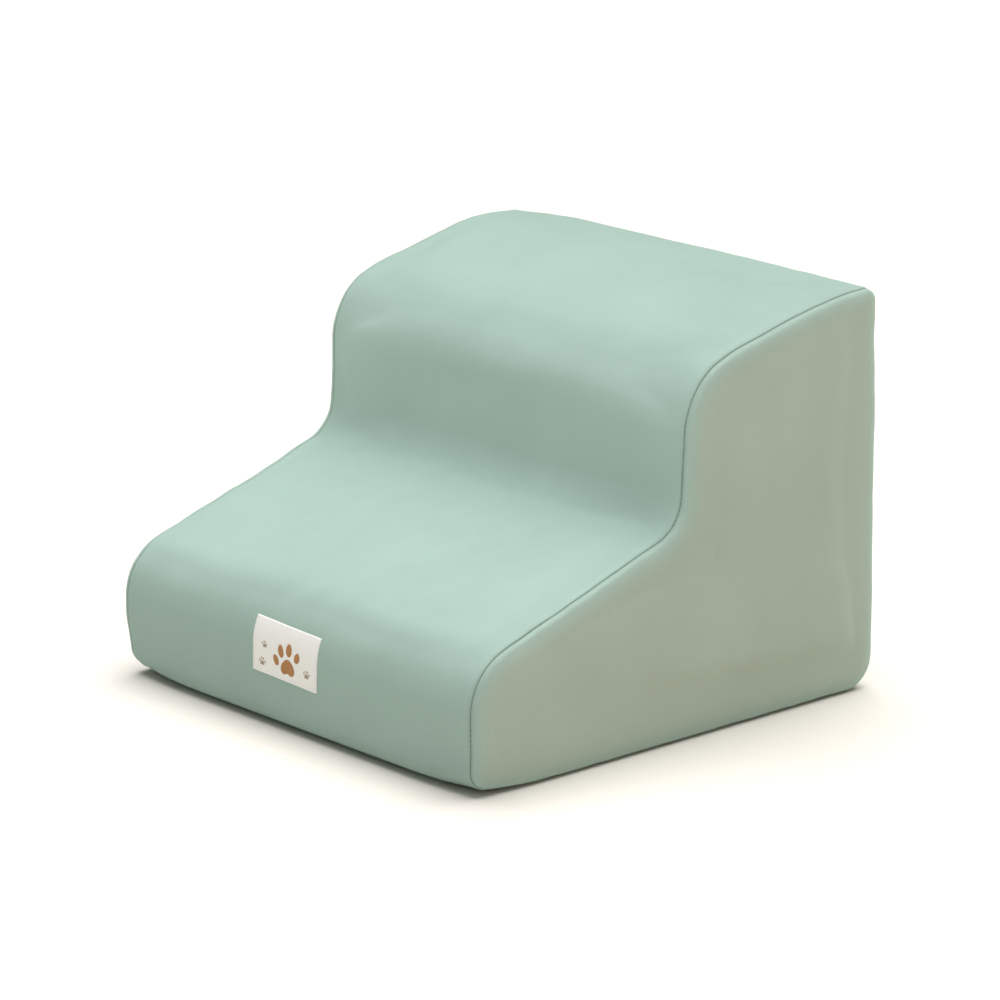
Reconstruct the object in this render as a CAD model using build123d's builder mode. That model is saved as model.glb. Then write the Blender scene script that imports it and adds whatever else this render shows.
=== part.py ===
"""A two-step foam pet ramp in a zipped fabric cover.

Millimetres. +X is the right side, -Y the front where the pet steps on, +Z up.
The origin is on the floor under the middle of the whole object.
"""
import os

from build123d import *

# Overall padded shape, without the label and the zip pull
WIDTH = 400.0
DEPTH = 395.0
HEIGHT = 305.5

# How far small things stand out from the cover
DOT_HEIGHT = 1.0
LABEL_THICKNESS = 0.8
THREAD_THICKNESS = 0.2
BAIL_TOP = 4.7

# The front and back faces, set so that the whole object is centred on the origin
LABEL_PROUD = LABEL_THICKNESS + THREAD_THICKNESS
FRONT_Y = -(DEPTH + LABEL_PROUD + BAIL_TOP) / 2 + LABEL_PROUD
BACK_Y = FRONT_Y + DEPTH

# Side outline: corner heights, the depth of each corner behind the front face, and radii
NOSE_HEIGHT = 90.0
RISER_FOOT_DEPTH = 199.5
RISER_FOOT_HEIGHT = 158.5
RISER_TOP_DEPTH = 205.0
RISER_TOP_HEIGHT = 263.0
CROWN_FRONT_DEPTH = 252.0
CROWN_FRONT_HEIGHT = 281.0
CROWN_BACK_DEPTH = 347.5
CROWN_BACK_HEIGHT = 302.5
FRONT_FOOT_RADIUS = 16.0
NOSE_RADIUS = 43.0
RISER_FOOT_RADIUS = 33.0
RISER_TOP_RADIUS = 55.0
CROWN_FRONT_RADIUS = 175.0
CROWN_BACK_RADIUS = 450.0
BACK_TOP_RADIUS = 9.0
HEEL_RADIUS = 25.0
SIDE_EDGE_RADIUS = 10.5

# Layers, from the outside in
FABRIC = 1.5
LINER = 0.5

# Foam
BOARD_TOP = 25.0
TIER_HEIGHT = 160.0
TOPPER = 20.0
TOPPER_TUCK = 20.0

# Seams
SEAM = 0.5
SIDE_SEAM_X = 193.0
BACK_SEAM_HEIGHT = 293.0
FRONT_SEAM_INSET = 18.0
HEEL_SEAM_INSET = 28.0

# Label on the front face
LABEL_X = -7.0
LABEL_WIDTH = 72.0
LABEL_BOTTOM = 37.5
LABEL_TOP = 79.0
STITCH_INSET = 1.5
STITCH_WIDTH = 0.5

# Zip across the back
ZIP_HEIGHT = 42.0
ZIP_SLOT = 12.0
ZIP_SLOT_LENGTH = 379.0
TAPE = 0.6
TAPE_WIDTH = 11.0
TAPE_GAP = 1.6
COIL_WIDTH = 2.8
COIL_THICKNESS = 1.9
COIL_LENGTH = 344.0
STOP_LENGTH = 3.0
CHANNEL_WIDTH = 28.0
CHANNEL_LENGTH = 381.0
CHANNEL_DEPTH = 3.0
TOPSTITCH_OFFSET = 3.0

# Slider and pull tab
CLEARANCE = 0.3
SLIDER_LENGTH = 13.0
SLIDER_WIDTH = 10.4
SLIDER_PLATE = 1.2
SLIDER_FLANGE = 1.3
NECK_LENGTH = 3.0
NECK_WIDTH = 1.0
BAIL_LENGTH = 9.2
BAIL_WIDTH = 2.4
BAIL_BAR = 1.0
BAIL_FOOT = 1.2
TAB_THICKNESS = 1.2
TAB_LENGTH = 28.0
TAB_WIDTH = 7.0
TAB_NECK_WIDTH = 5.8
TAB_ARM_INSIDE = 5.4

# Grip dots under the base
DOT_DIAMETER = 8.0
DOT_ROWS = 5
DOT_PITCH_X = 85.0
DOT_PITCH_Y = 78.0

# Places worked out from the above
FABRIC_BACK = BACK_Y - FABRIC
TAPE_BACK = FABRIC_BACK - TAPE
COIL_FACE = FABRIC_BACK + COIL_THICKNESS
TAPE_EDGE = TAPE_GAP / 2
SLIDER_X = COIL_LENGTH / 2 - CLEARANCE - SLIDER_LENGTH / 2
PLATE_INNER = COIL_FACE + CLEARANCE
PLATE_OUTER = PLATE_INNER + SLIDER_PLATE
BAIL_FACE = BACK_Y + BAIL_TOP
BAIL_INNER = BAIL_FACE - BAIL_BAR
PIVOT_Y = (PLATE_OUTER + BAIL_INNER) / 2
FAR = 500.0

os.makedirs("parts", exist_ok=True)


def save(part, name):
    """Label a finished piece and write it."""
    part.label = name
    export_step(part, f"parts/{name}.step")


def layer(inset):
    """The whole padded shape, drawn in by inset on every side."""
    corners = [
        (FRONT_Y, DOT_HEIGHT),
        (FRONT_Y, NOSE_HEIGHT),
        (FRONT_Y + RISER_FOOT_DEPTH, RISER_FOOT_HEIGHT),
        (FRONT_Y + RISER_TOP_DEPTH, RISER_TOP_HEIGHT),
        (FRONT_Y + CROWN_FRONT_DEPTH, CROWN_FRONT_HEIGHT),
        (FRONT_Y + CROWN_BACK_DEPTH, CROWN_BACK_HEIGHT),
        (BACK_Y, HEIGHT),
        (BACK_Y, DOT_HEIGHT),
    ]
    radii = [
        FRONT_FOOT_RADIUS,
        NOSE_RADIUS,
        RISER_FOOT_RADIUS,
        RISER_TOP_RADIUS,
        CROWN_FRONT_RADIUS,
        CROWN_BACK_RADIUS,
        BACK_TOP_RADIUS,
        HEEL_RADIUS,
    ]
    with BuildPart() as shape:
        with BuildSketch(Plane.YZ):
            with BuildLine():
                FilletPolyline(*corners, radius=radii, close=True)
            make_face()
            if inset:
                offset(amount=-inset)
        extrude(amount=WIDTH / 2 - inset, both=True)
        fillet(faces().filter_by(Axis.X).edges(), SIDE_EDGE_RADIUS - inset)
    return shape.part


def block(x_from, x_to, y_from, y_to, z_from, z_to):
    """A plain block between two corners, used to cut other shapes."""
    with BuildPart() as cutter:
        with BuildSketch(Plane.XY.offset(z_from)):
            with Locations(((x_from + x_to) / 2, (y_from + y_to) / 2)):
                Rectangle(x_to - x_from, y_to - y_from)
        extrude(amount=z_to - z_from)
    return cutter.part


def across(y_from, y_to, z_from, z_to, half_length=FAR):
    """A cutting block that runs evenly to both sides of the middle."""
    return block(-half_length, half_length, y_from, y_to, z_from, z_to)


# The nested shapes that the layers are cut from
outside = layer(0)
inside_fabric = layer(FABRIC)
inside_liner = layer(FABRIC + LINER)

with BuildPart() as skin:
    add(outside)
    add(inside_fabric, mode=Mode.SUBTRACT)

channel = across(
    FABRIC_BACK - CHANNEL_DEPTH,
    FAR,
    ZIP_HEIGHT - CHANNEL_WIDTH / 2,
    ZIP_HEIGHT + CHANNEL_WIDTH / 2,
    CHANNEL_LENGTH / 2,
)
lined_channel = across(
    FABRIC_BACK - CHANNEL_DEPTH - LINER,
    FAR,
    ZIP_HEIGHT - CHANNEL_WIDTH / 2 - LINER,
    ZIP_HEIGHT + CHANNEL_WIDTH / 2 + LINER,
    CHANNEL_LENGTH / 2 + LINER,
)

with BuildPart() as foam:
    add(inside_liner)
    add(lined_channel, mode=Mode.SUBTRACT)


# Foam core ---------------------------------------------------------------


def topper_region(points):
    """The space over a line of points in the side view, right across the width."""
    with BuildPart() as region:
        with BuildSketch(Plane.YZ):
            with BuildLine():
                Polyline(*points, close=True)
            make_face()
        extrude(amount=FAR, both=True)
    return region.part


tread_slope = (RISER_FOOT_HEIGHT - NOSE_HEIGHT) / RISER_FOOT_DEPTH
topper_rear = RISER_FOOT_DEPTH + TOPPER_TUCK
lower_topper_region = topper_region(
    [
        (FRONT_Y, NOSE_HEIGHT - TOPPER),
        (FRONT_Y + topper_rear, NOSE_HEIGHT - TOPPER + topper_rear * tread_slope),
        (FRONT_Y + topper_rear, TIER_HEIGHT),
        (FRONT_Y, TIER_HEIGHT),
    ]
)
upper_topper_region = topper_region(
    [
        (FRONT_Y + RISER_TOP_DEPTH - TOPPER, RISER_TOP_HEIGHT - 1.5 * TOPPER),
        (FRONT_Y + CROWN_FRONT_DEPTH, CROWN_FRONT_HEIGHT - TOPPER),
        (FRONT_Y + CROWN_BACK_DEPTH, CROWN_BACK_HEIGHT - TOPPER),
        (BACK_Y, HEIGHT - TOPPER),
        (BACK_Y, HEIGHT + TOPPER),
        (FRONT_Y + RISER_TOP_DEPTH - TOPPER, HEIGHT + TOPPER),
    ]
)

with BuildPart() as base_board:
    add(foam.part)
    add(across(-FAR, FAR, -FAR, BOARD_TOP), mode=Mode.INTERSECT)
save(base_board.part, "base_board")

with BuildPart() as core_lower_block:
    add(foam.part)
    add(across(-FAR, FAR, BOARD_TOP, TIER_HEIGHT), mode=Mode.INTERSECT)
    add(lower_topper_region, mode=Mode.SUBTRACT)
save(core_lower_block.part, "core_lower_block")

with BuildPart() as lower_tread_topper:
    add(foam.part)
    add(lower_topper_region, mode=Mode.INTERSECT)
save(lower_tread_topper.part, "lower_tread_topper")

with BuildPart() as core_upper_block:
    add(foam.part)
    add(across(-FAR, FAR, TIER_HEIGHT, FAR), mode=Mode.INTERSECT)
    add(upper_topper_region, mode=Mode.SUBTRACT)
save(core_upper_block.part, "core_upper_block")

with BuildPart() as upper_tread_topper:
    add(foam.part)
    add(upper_topper_region, mode=Mode.INTERSECT)
save(upper_tread_topper.part, "upper_tread_topper")


# Inner liner: a closed bag round the foam, pushed in behind the zip --------

with BuildPart() as inner_liner:
    add(inside_fabric)
    add(channel, mode=Mode.SUBTRACT)
    add(foam.part, mode=Mode.SUBTRACT)
save(inner_liner.part, "inner_liner")


# Fabric cover ------------------------------------------------------------

panel_half = SIDE_SEAM_X - SEAM / 2
side_start = SIDE_SEAM_X + SEAM / 2
front_seam_y = FRONT_Y + FRONT_SEAM_INSET
heel_seam_y = BACK_Y - HEEL_SEAM_INSET
base_reach = FRONT_FOOT_RADIUS
zip_slot = across(
    BACK_Y - HEEL_RADIUS,
    FAR,
    ZIP_HEIGHT - ZIP_SLOT / 2,
    ZIP_HEIGHT + ZIP_SLOT / 2,
    ZIP_SLOT_LENGTH / 2,
)

with BuildPart() as cover_side_right:
    add(skin.part)
    add(block(side_start, FAR, -FAR, FAR, -FAR, FAR), mode=Mode.INTERSECT)
save(cover_side_right.part, "cover_side_right")

with BuildPart() as cover_side_left:
    add(skin.part)
    add(block(-FAR, -side_start, -FAR, FAR, -FAR, FAR), mode=Mode.INTERSECT)
save(cover_side_left.part, "cover_side_left")

with BuildPart() as side_seam_right:
    add(skin.part)
    add(block(panel_half, side_start, -FAR, FAR, -FAR, FAR), mode=Mode.INTERSECT)
save(side_seam_right.part, "side_seam_right")

with BuildPart() as side_seam_left:
    add(skin.part)
    add(block(-side_start, -panel_half, -FAR, FAR, -FAR, FAR), mode=Mode.INTERSECT)
save(side_seam_left.part, "side_seam_left")

with BuildPart() as cover_tread_panel:
    add(skin.part)
    add(across(-FAR, FAR, -FAR, FAR, panel_half), mode=Mode.INTERSECT)
    add(across(front_seam_y - SEAM / 2, FAR, -FAR, base_reach), mode=Mode.SUBTRACT)
    add(
        across(heel_seam_y - SEAM / 2, FAR, -FAR, BACK_SEAM_HEIGHT + SEAM / 2),
        mode=Mode.SUBTRACT,
    )
save(cover_tread_panel.part, "cover_tread_panel")

with BuildPart() as front_base_seam:
    add(skin.part)
    add(
        across(front_seam_y - SEAM / 2, front_seam_y + SEAM / 2, 0, base_reach, panel_half),
        mode=Mode.INTERSECT,
    )
save(front_base_seam.part, "front_base_seam")

with BuildPart() as cover_base:
    add(skin.part)
    add(
        across(front_seam_y + SEAM / 2, heel_seam_y - SEAM / 2, 0, base_reach, panel_half),
        mode=Mode.INTERSECT,
    )
save(cover_base.part, "cover_base")

with BuildPart() as heel_base_seam:
    add(skin.part)
    add(
        across(heel_seam_y - SEAM / 2, heel_seam_y + SEAM / 2, 0, base_reach, panel_half),
        mode=Mode.INTERSECT,
    )
save(heel_base_seam.part, "heel_base_seam")

with BuildPart() as cover_heel_strip:
    add(skin.part)
    add(across(heel_seam_y + SEAM / 2, FAR, 0, ZIP_HEIGHT, panel_half), mode=Mode.INTERSECT)
    add(zip_slot, mode=Mode.SUBTRACT)
save(cover_heel_strip.part, "cover_heel_strip")

with BuildPart() as cover_back:
    add(skin.part)
    add(
        across(BACK_Y - HEEL_RADIUS, FAR, ZIP_HEIGHT, BACK_SEAM_HEIGHT - SEAM / 2, panel_half),
        mode=Mode.INTERSECT,
    )
    add(zip_slot, mode=Mode.SUBTRACT)
save(cover_back.part, "cover_back")

with BuildPart() as back_top_seam:
    add(skin.part)
    add(
        across(
            BACK_Y - HEEL_RADIUS,
            FAR,
            BACK_SEAM_HEIGHT - SEAM / 2,
            BACK_SEAM_HEIGHT + SEAM / 2,
            panel_half,
        ),
        mode=Mode.INTERSECT,
    )
save(back_top_seam.part, "back_top_seam")


# Grip dots under the base ------------------------------------------------

with BuildPart() as grip_dots:
    with BuildSketch(Plane.XY):
        with GridLocations(DOT_PITCH_X, DOT_PITCH_Y, DOT_ROWS, DOT_ROWS):
            Circle(DOT_DIAMETER / 2)
    extrude(amount=DOT_HEIGHT)
save(grip_dots.part, "grip_dots")


# Label -------------------------------------------------------------------

label_left = LABEL_X - LABEL_WIDTH / 2
label_right = LABEL_X + LABEL_WIDTH / 2
label_reach = FRONT_Y + NOSE_RADIUS
label_face = layer(-LABEL_THICKNESS)
stitch_face = layer(-LABEL_PROUD)
stitch_outer = block(
    label_left + STITCH_INSET,
    label_right - STITCH_INSET,
    -FAR,
    label_reach,
    LABEL_BOTTOM + STITCH_INSET,
    LABEL_TOP - STITCH_INSET,
)
stitch_inner = block(
    label_left + STITCH_INSET + STITCH_WIDTH,
    label_right - STITCH_INSET - STITCH_WIDTH,
    -FAR,
    label_reach,
    LABEL_BOTTOM + STITCH_INSET + STITCH_WIDTH,
    LABEL_TOP - STITCH_INSET - STITCH_WIDTH,
)

with BuildPart() as paw_label:
    add(label_face)
    add(outside, mode=Mode.SUBTRACT)
    add(
        block(label_left, label_right, -FAR, label_reach, LABEL_BOTTOM, LABEL_TOP),
        mode=Mode.INTERSECT,
    )
save(paw_label.part, "paw_label")

with BuildPart() as label_stitching:
    add(stitch_face)
    add(label_face, mode=Mode.SUBTRACT)
    add(stitch_outer, mode=Mode.INTERSECT)
    add(stitch_inner, mode=Mode.SUBTRACT)
save(label_stitching.part, "label_stitching")


# Zip ---------------------------------------------------------------------


def zip_strip(y_from, y_to, z_from, z_to, length):
    """A straight strip of the zip, given by its height above or below the zip's middle."""
    low = ZIP_HEIGHT + min(z_from, z_to)
    high = ZIP_HEIGHT + max(z_from, z_to)
    return across(y_from, y_to, low, high, length / 2)


for side, name in ((1, "upper"), (-1, "lower")):
    with BuildPart() as zip_tape:
        add(
            zip_strip(
                TAPE_BACK,
                FABRIC_BACK,
                side * TAPE_EDGE,
                side * (TAPE_EDGE + TAPE_WIDTH),
                ZIP_SLOT_LENGTH,
            )
        )
    save(zip_tape.part, f"zip_tape_{name}")

    with BuildPart() as zip_coil:
        add(
            zip_strip(
                FABRIC_BACK,
                COIL_FACE,
                side * TAPE_EDGE,
                side * (TAPE_EDGE + COIL_WIDTH),
                COIL_LENGTH,
            )
        )
        coil_edges = zip_coil.faces().sort_by(Axis.Y)[-1].edges().filter_by(Axis.X)
        fillet(coil_edges, COIL_WIDTH / 4)
    save(zip_coil.part, f"zip_coil_{name}")

for side, name in ((1, "top"), (-1, "bottom")):
    stop_inner = side * COIL_LENGTH / 2
    stop_outer = side * (COIL_LENGTH / 2 + STOP_LENGTH)
    with BuildPart() as zip_stop:
        add(
            block(
                min(stop_inner, stop_outer),
                max(stop_inner, stop_outer),
                FABRIC_BACK,
                COIL_FACE + CLEARANCE,
                ZIP_HEIGHT - TAPE_EDGE - COIL_WIDTH,
                ZIP_HEIGHT + TAPE_EDGE + COIL_WIDTH,
            )
        )
        fillet(zip_stop.faces().sort_by(Axis.Y)[-1].edges(), COIL_WIDTH / 5)
    save(zip_stop.part, f"zip_{name}_stop")

with BuildPart() as zip_topstitching:
    for side in (1, -1):
        line = side * (ZIP_SLOT / 2 + TOPSTITCH_OFFSET)
        add(
            zip_strip(
                BACK_Y,
                BACK_Y + THREAD_THICKNESS,
                line - SEAM / 2,
                line + SEAM / 2,
                ZIP_SLOT_LENGTH,
            )
        )
save(zip_topstitching.part, "zip_topstitching")


# Slider: two plates held apart by a neck that runs between the coils -------

flange_y = FABRIC_BACK + CLEARANCE
inner_plate_y = TAPE_BACK - CLEARANCE
slide_plane = Plane((SLIDER_X, 0, ZIP_HEIGHT), x_dir=(1, 0, 0), z_dir=(0, -1, 0))

with BuildPart() as zip_slider:
    with BuildSketch(slide_plane.offset(-PLATE_OUTER)):
        RectangleRounded(SLIDER_LENGTH, SLIDER_WIDTH, SLIDER_WIDTH / 4)
    extrude(amount=SLIDER_PLATE)
    with BuildSketch(slide_plane.offset(-PLATE_INNER)):
        for side in (1, -1):
            with Locations((0, side * (SLIDER_WIDTH - SLIDER_FLANGE) / 2)):
                Rectangle(SLIDER_LENGTH - SLIDER_WIDTH / 2, SLIDER_FLANGE)
    extrude(amount=PLATE_INNER - flange_y)
    with BuildSketch(slide_plane.offset(-PLATE_INNER)):
        Rectangle(NECK_LENGTH, NECK_WIDTH)
    extrude(amount=PLATE_INNER - inner_plate_y)
    with BuildSketch(slide_plane.offset(-inner_plate_y)):
        RectangleRounded(SLIDER_LENGTH, SLIDER_WIDTH, SLIDER_WIDTH / 4)
    extrude(amount=SLIDER_PLATE)
    with BuildSketch(slide_plane.offset(-BAIL_FACE)):
        Rectangle(BAIL_LENGTH, BAIL_WIDTH)
    extrude(amount=BAIL_BAR)
    with BuildSketch(slide_plane.offset(-BAIL_INNER)):
        for side in (1, -1):
            with Locations((side * (BAIL_LENGTH - BAIL_FOOT) / 2, 0)):
                Rectangle(BAIL_FOOT, BAIL_WIDTH)
    extrude(amount=BAIL_INNER - PLATE_OUTER)
save(zip_slider.part, "zip_slider")


# Pull tab: a plate with a window, whose round end bar turns under the bail --

arm_width = (TAB_NECK_WIDTH - BAIL_WIDTH - 2 * CLEARANCE) / 2
tab_plane = Plane(
    (SLIDER_X, PIVOT_Y + TAB_THICKNESS / 2, ZIP_HEIGHT), x_dir=(-1, 0, 0), z_dir=(0, -1, 0)
)

with BuildPart() as zip_pull_tab:
    with BuildSketch(Plane.XY.offset(ZIP_HEIGHT - TAB_NECK_WIDTH / 2)):
        with Locations((SLIDER_X, PIVOT_Y)):
            Circle(TAB_THICKNESS / 2)
    extrude(amount=TAB_NECK_WIDTH)
    with BuildSketch(tab_plane):
        for side in (1, -1):
            with Locations((TAB_ARM_INSIDE / 2, side * (TAB_NECK_WIDTH - arm_width) / 2)):
                Rectangle(TAB_ARM_INSIDE, arm_width)
    extrude(amount=TAB_THICKNESS)
    with BuildSketch(tab_plane):
        with BuildLine():
            Polyline(
                (TAB_ARM_INSIDE, -TAB_NECK_WIDTH / 2),
                (TAB_LENGTH, -TAB_WIDTH / 2),
                (TAB_LENGTH, TAB_WIDTH / 2),
                (TAB_ARM_INSIDE, TAB_NECK_WIDTH / 2),
                close=True,
            )
        make_face()
        fillet(vertices().group_by(Axis.X)[-1], TAB_WIDTH / 3)
        with Locations((TAB_LENGTH - TAB_WIDTH / 2, 0)):
            Circle(TAB_WIDTH / 6, mode=Mode.SUBTRACT)
    extrude(amount=TAB_THICKNESS)
save(zip_pull_tab.part, "zip_pull_tab")
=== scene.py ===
"""Looks for a two-step foam pet ramp: cover, seams, label, zip and grip base on the frame."""
import math

import bmesh
import bpy
import numpy as np
from bpy.props import FloatProperty, FloatVectorProperty, IntProperty, PointerProperty
from bpy.types import Operator, Panel, PropertyGroup
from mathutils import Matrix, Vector
from mathutils.kdtree import KDTree


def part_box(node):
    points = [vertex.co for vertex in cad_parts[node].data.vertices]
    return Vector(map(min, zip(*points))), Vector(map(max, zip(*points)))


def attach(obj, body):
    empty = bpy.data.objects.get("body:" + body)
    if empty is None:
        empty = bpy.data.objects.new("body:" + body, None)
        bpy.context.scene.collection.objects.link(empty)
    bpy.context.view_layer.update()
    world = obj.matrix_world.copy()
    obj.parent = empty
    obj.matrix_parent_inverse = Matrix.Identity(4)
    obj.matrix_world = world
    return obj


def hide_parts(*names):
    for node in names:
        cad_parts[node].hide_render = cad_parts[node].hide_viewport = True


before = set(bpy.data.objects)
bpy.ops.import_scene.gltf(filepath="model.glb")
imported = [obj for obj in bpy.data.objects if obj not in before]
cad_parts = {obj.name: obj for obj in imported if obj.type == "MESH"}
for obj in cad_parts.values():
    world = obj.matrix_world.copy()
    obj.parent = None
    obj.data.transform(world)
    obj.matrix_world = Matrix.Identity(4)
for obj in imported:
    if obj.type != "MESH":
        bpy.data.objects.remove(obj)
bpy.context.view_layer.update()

bl_info = {
    "name": "Pet Ramp Looks",
    "version": (1, 0, 0),
    "blender": (4, 5, 0),
    "location": "View3D > Sidebar > Pet Ramp",
    "description": "Dresses a two-step foam pet ramp in its cover, seams, label, zip and grip base",
    "category": "Object",
}

MM = 0.001
BODY = "ramp"
FOAM_NODES = (
    "base_board",
    "core_lower_block",
    "core_upper_block",
    "lower_tread_topper",
    "upper_tread_topper",
)

# Places read from the frame
FRONT_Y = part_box("cover_tread_panel")[0].y
BACK_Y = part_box("cover_back")[1].y
BASE_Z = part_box("cover_base")[0].z
HALF_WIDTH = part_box("cover_side_right")[1].x
SEAM_X = sum(corner.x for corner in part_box("side_seam_right")) / 2
ZIP_Z = sum(corner.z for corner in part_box("zip_slider")) / 2
BACK_SEAM_Z = sum(corner.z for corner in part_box("back_top_seam")) / 2

# Side outline: depth behind the front, height over the base and corner radius, millimetres
OUTLINE = (
    (0.0, 0.0, 16.0),
    (0.0, 89.0, 43.0),
    (199.5, 157.5, 33.0),
    (205.0, 262.0, 55.0),
    (252.0, 280.0, 175.0),
    (347.5, 301.5, 450.0),
    (395.0, 304.5, 9.0),
    (395.0, 0.0, 25.0),
)
FRONT_FOOT, NOSE, RISER_FOOT, RISER_TOP, CROWN_FRONT, CROWN_BACK, BACK_TOP, HEEL = range(8)

# How the soft corners give: how far round a corner, how far it moves, and the crown's rise
FRONT_CORNER = 38 * MM
FRONT_PULL = 5.5 * MM
FRONT_LIFT = 3.2 * MM
BACK_CORNER = 52 * MM
LEFT_DROOP, RIGHT_DROOP = 4.0 * MM, 1.2 * MM
CROWN_FROM_BACK, CROWN_SPREAD, CROWN_RISE = 38 * MM, 36 * MM, 3.5 * MM

# Cloth beside a seam: where its rolled edge stands highest, and how wide the marks of a seam are
RIDGE_FROM_SEAM, RIDGE_SPREAD = 3.6 * MM, 2.3 * MM
# The first mark is how wide the painted shade in a seam's groove spreads; the second how wide a side
# panel's rolled edge turns mint, where its painted warm side light gives way.
SEAM_SHADE_MARK, ROLLED_MARK = 1.5 * MM, 11 * MM


# ---------------------------------------------------------------------------
# Sizes and colours a user would change
# ---------------------------------------------------------------------------


def length(name, text, value):
    """A length property in metres."""
    return FloatProperty(name=name, description=text, default=value, min=0.0, unit="LENGTH")


def colour(name, text, value):
    """A colour property, linear."""
    return FloatVectorProperty(
        name=name, description=text, default=value, size=3, min=0.0, max=1.0, subtype="COLOR"
    )


class CoverSizes(PropertyGroup):
    """Sizes of the cover and its details."""

    edge_radius: length("Edge radius", "Rounding between the treads and the sides", 0.0105)
    cloth: length("Cloth", "Thickness of the cover cloth", 0.0012)
    grid: length("Grid", "Spacing of the cover's mesh", 0.004)
    seam_roll: length("Seam roll", "How far the cloth rolls down into a seam", 0.0013)
    seam_gap: length("Seam gap", "Half the gap between two sewn panels", 0.00012)
    ridge: length("Ridge", "How far the side panel's rolled edge stands up", 0.0011)
    swell_voxel: length("Swell voxel", "Mesh size of the swelling simulation", 0.006)
    swell_cap: length("Swell cap", "The most that the cover swells off the foam", 0.0045)
    label_turn: FloatProperty(
        name="Label turn", description="How far the label is sewn off level, in degrees", default=1.6
    )
    dimple: length("Dimple", "Depth of the soft unevenness of the foam", 0.0008)
    pucker: length("Pucker", "Height of the puckers along a seam", 0.0002)
    stitch: length("Stitch", "Length of one stitch", 0.0032)
    stitch_pitch: length("Stitch pitch", "Distance from stitch to stitch", 0.0040)
    thread: length("Thread", "Radius of the sewing thread", 0.00026)
    label_cloth: length("Label cloth", "Thickness of the sewn label", 0.0005)
    dot_pitch: length("Dot pitch", "Distance between grip dots", 0.0085)
    dot_radius: length("Dot radius", "Radius of one grip dot", 0.0017)
    coil_pitch: length("Coil pitch", "Distance between the turns of one zip coil", 0.0014)
    coil_wire: length("Coil wire", "Radius of the zip coil's monofilament", 0.00032)
    swell_frames: IntProperty(
        name="Swell frames", description="Frames of the swelling simulation", default=20, min=1
    )


class CoverColours(PropertyGroup):
    """Colours of the cloths, threads, foam and zip."""

    cover: colour("Cover", "Mint cloth of the treads and the front", (0.35, 0.482, 0.419))
    # The side colour is the mint cover cloth painted greyer and warmer: painted warm side light on the
    # side, back and heel panels.
    side: colour("Side", "Cloth of the side and back panels", (0.385, 0.455, 0.37))
    base: colour("Base", "Non-slip base cloth", (0.24, 0.31, 0.27))
    thread: colour("Thread", "Sewing thread of the seams", (0.31, 0.44, 0.37))
    label: colour("Label", "White label cloth", (0.56, 0.58, 0.51))
    label_thread: colour("Label thread", "Thread round the label", (0.56, 0.58, 0.52))
    motif: colour("Motif", "Brown woven paw", (0.50, 0.25, 0.10))
    marks: colour("Marks", "Small grey-brown paws on the label", (0.42, 0.34, 0.26))
    foam: colour("Foam", "Main foam", (0.84, 0.82, 0.72))
    soft_foam: colour("Soft foam", "Tread topper foam", (0.90, 0.80, 0.50))
    firm_foam: colour("Firm foam", "Base board foam", (0.11, 0.12, 0.13))
    liner: colour("Liner", "Inner liner cloth", (0.80, 0.80, 0.76))
    dots: colour("Dots", "Grip dots", (0.55, 0.62, 0.57))
    tape: colour("Tape", "Zip tape", (0.30, 0.43, 0.36))
    coil: colour("Coil", "Zip coil", (0.27, 0.39, 0.33))
    metal: colour("Metal", "Painted slider and pull tab", (0.30, 0.41, 0.35))


class StageSizes(PropertyGroup):
    """Where the camera stands, and how strong the light is."""

    azimuth: FloatProperty(
        name="Azimuth", description="Camera angle round the object", default=math.radians(48.28),
        subtype="ANGLE",
    )
    elevation: FloatProperty(
        name="Elevation", description="Camera angle over the floor", default=math.radians(15.35),
        subtype="ANGLE",
    )
    distance: length("Distance", "From the camera to the point it looks at", 3.3163)
    focal_length: FloatProperty(
        name="Focal length", description="In millimetres on a 36 mm sensor", default=162.0
    )
    key_light: FloatProperty(name="Key", description="Strength of the overhead light", default=4.02)
    fill_light: FloatProperty(name="Fill", description="Power of the warm side fill", default=11.0)
    riser_light: FloatProperty(
        name="Riser", description="Power of the narrow light on the riser's foot", default=0.12
    )
    sky: FloatProperty(name="Sky", description="Strength of the pale surroundings", default=0.22)


def sizes():
    """The cover's sizes."""
    return bpy.context.scene.pet_ramp_sizes


def colours():
    """The cover's colours."""
    return bpy.context.scene.pet_ramp_colours


# ---------------------------------------------------------------------------
# The side outline, as lines and arcs that can be drawn inwards
# ---------------------------------------------------------------------------


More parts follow.
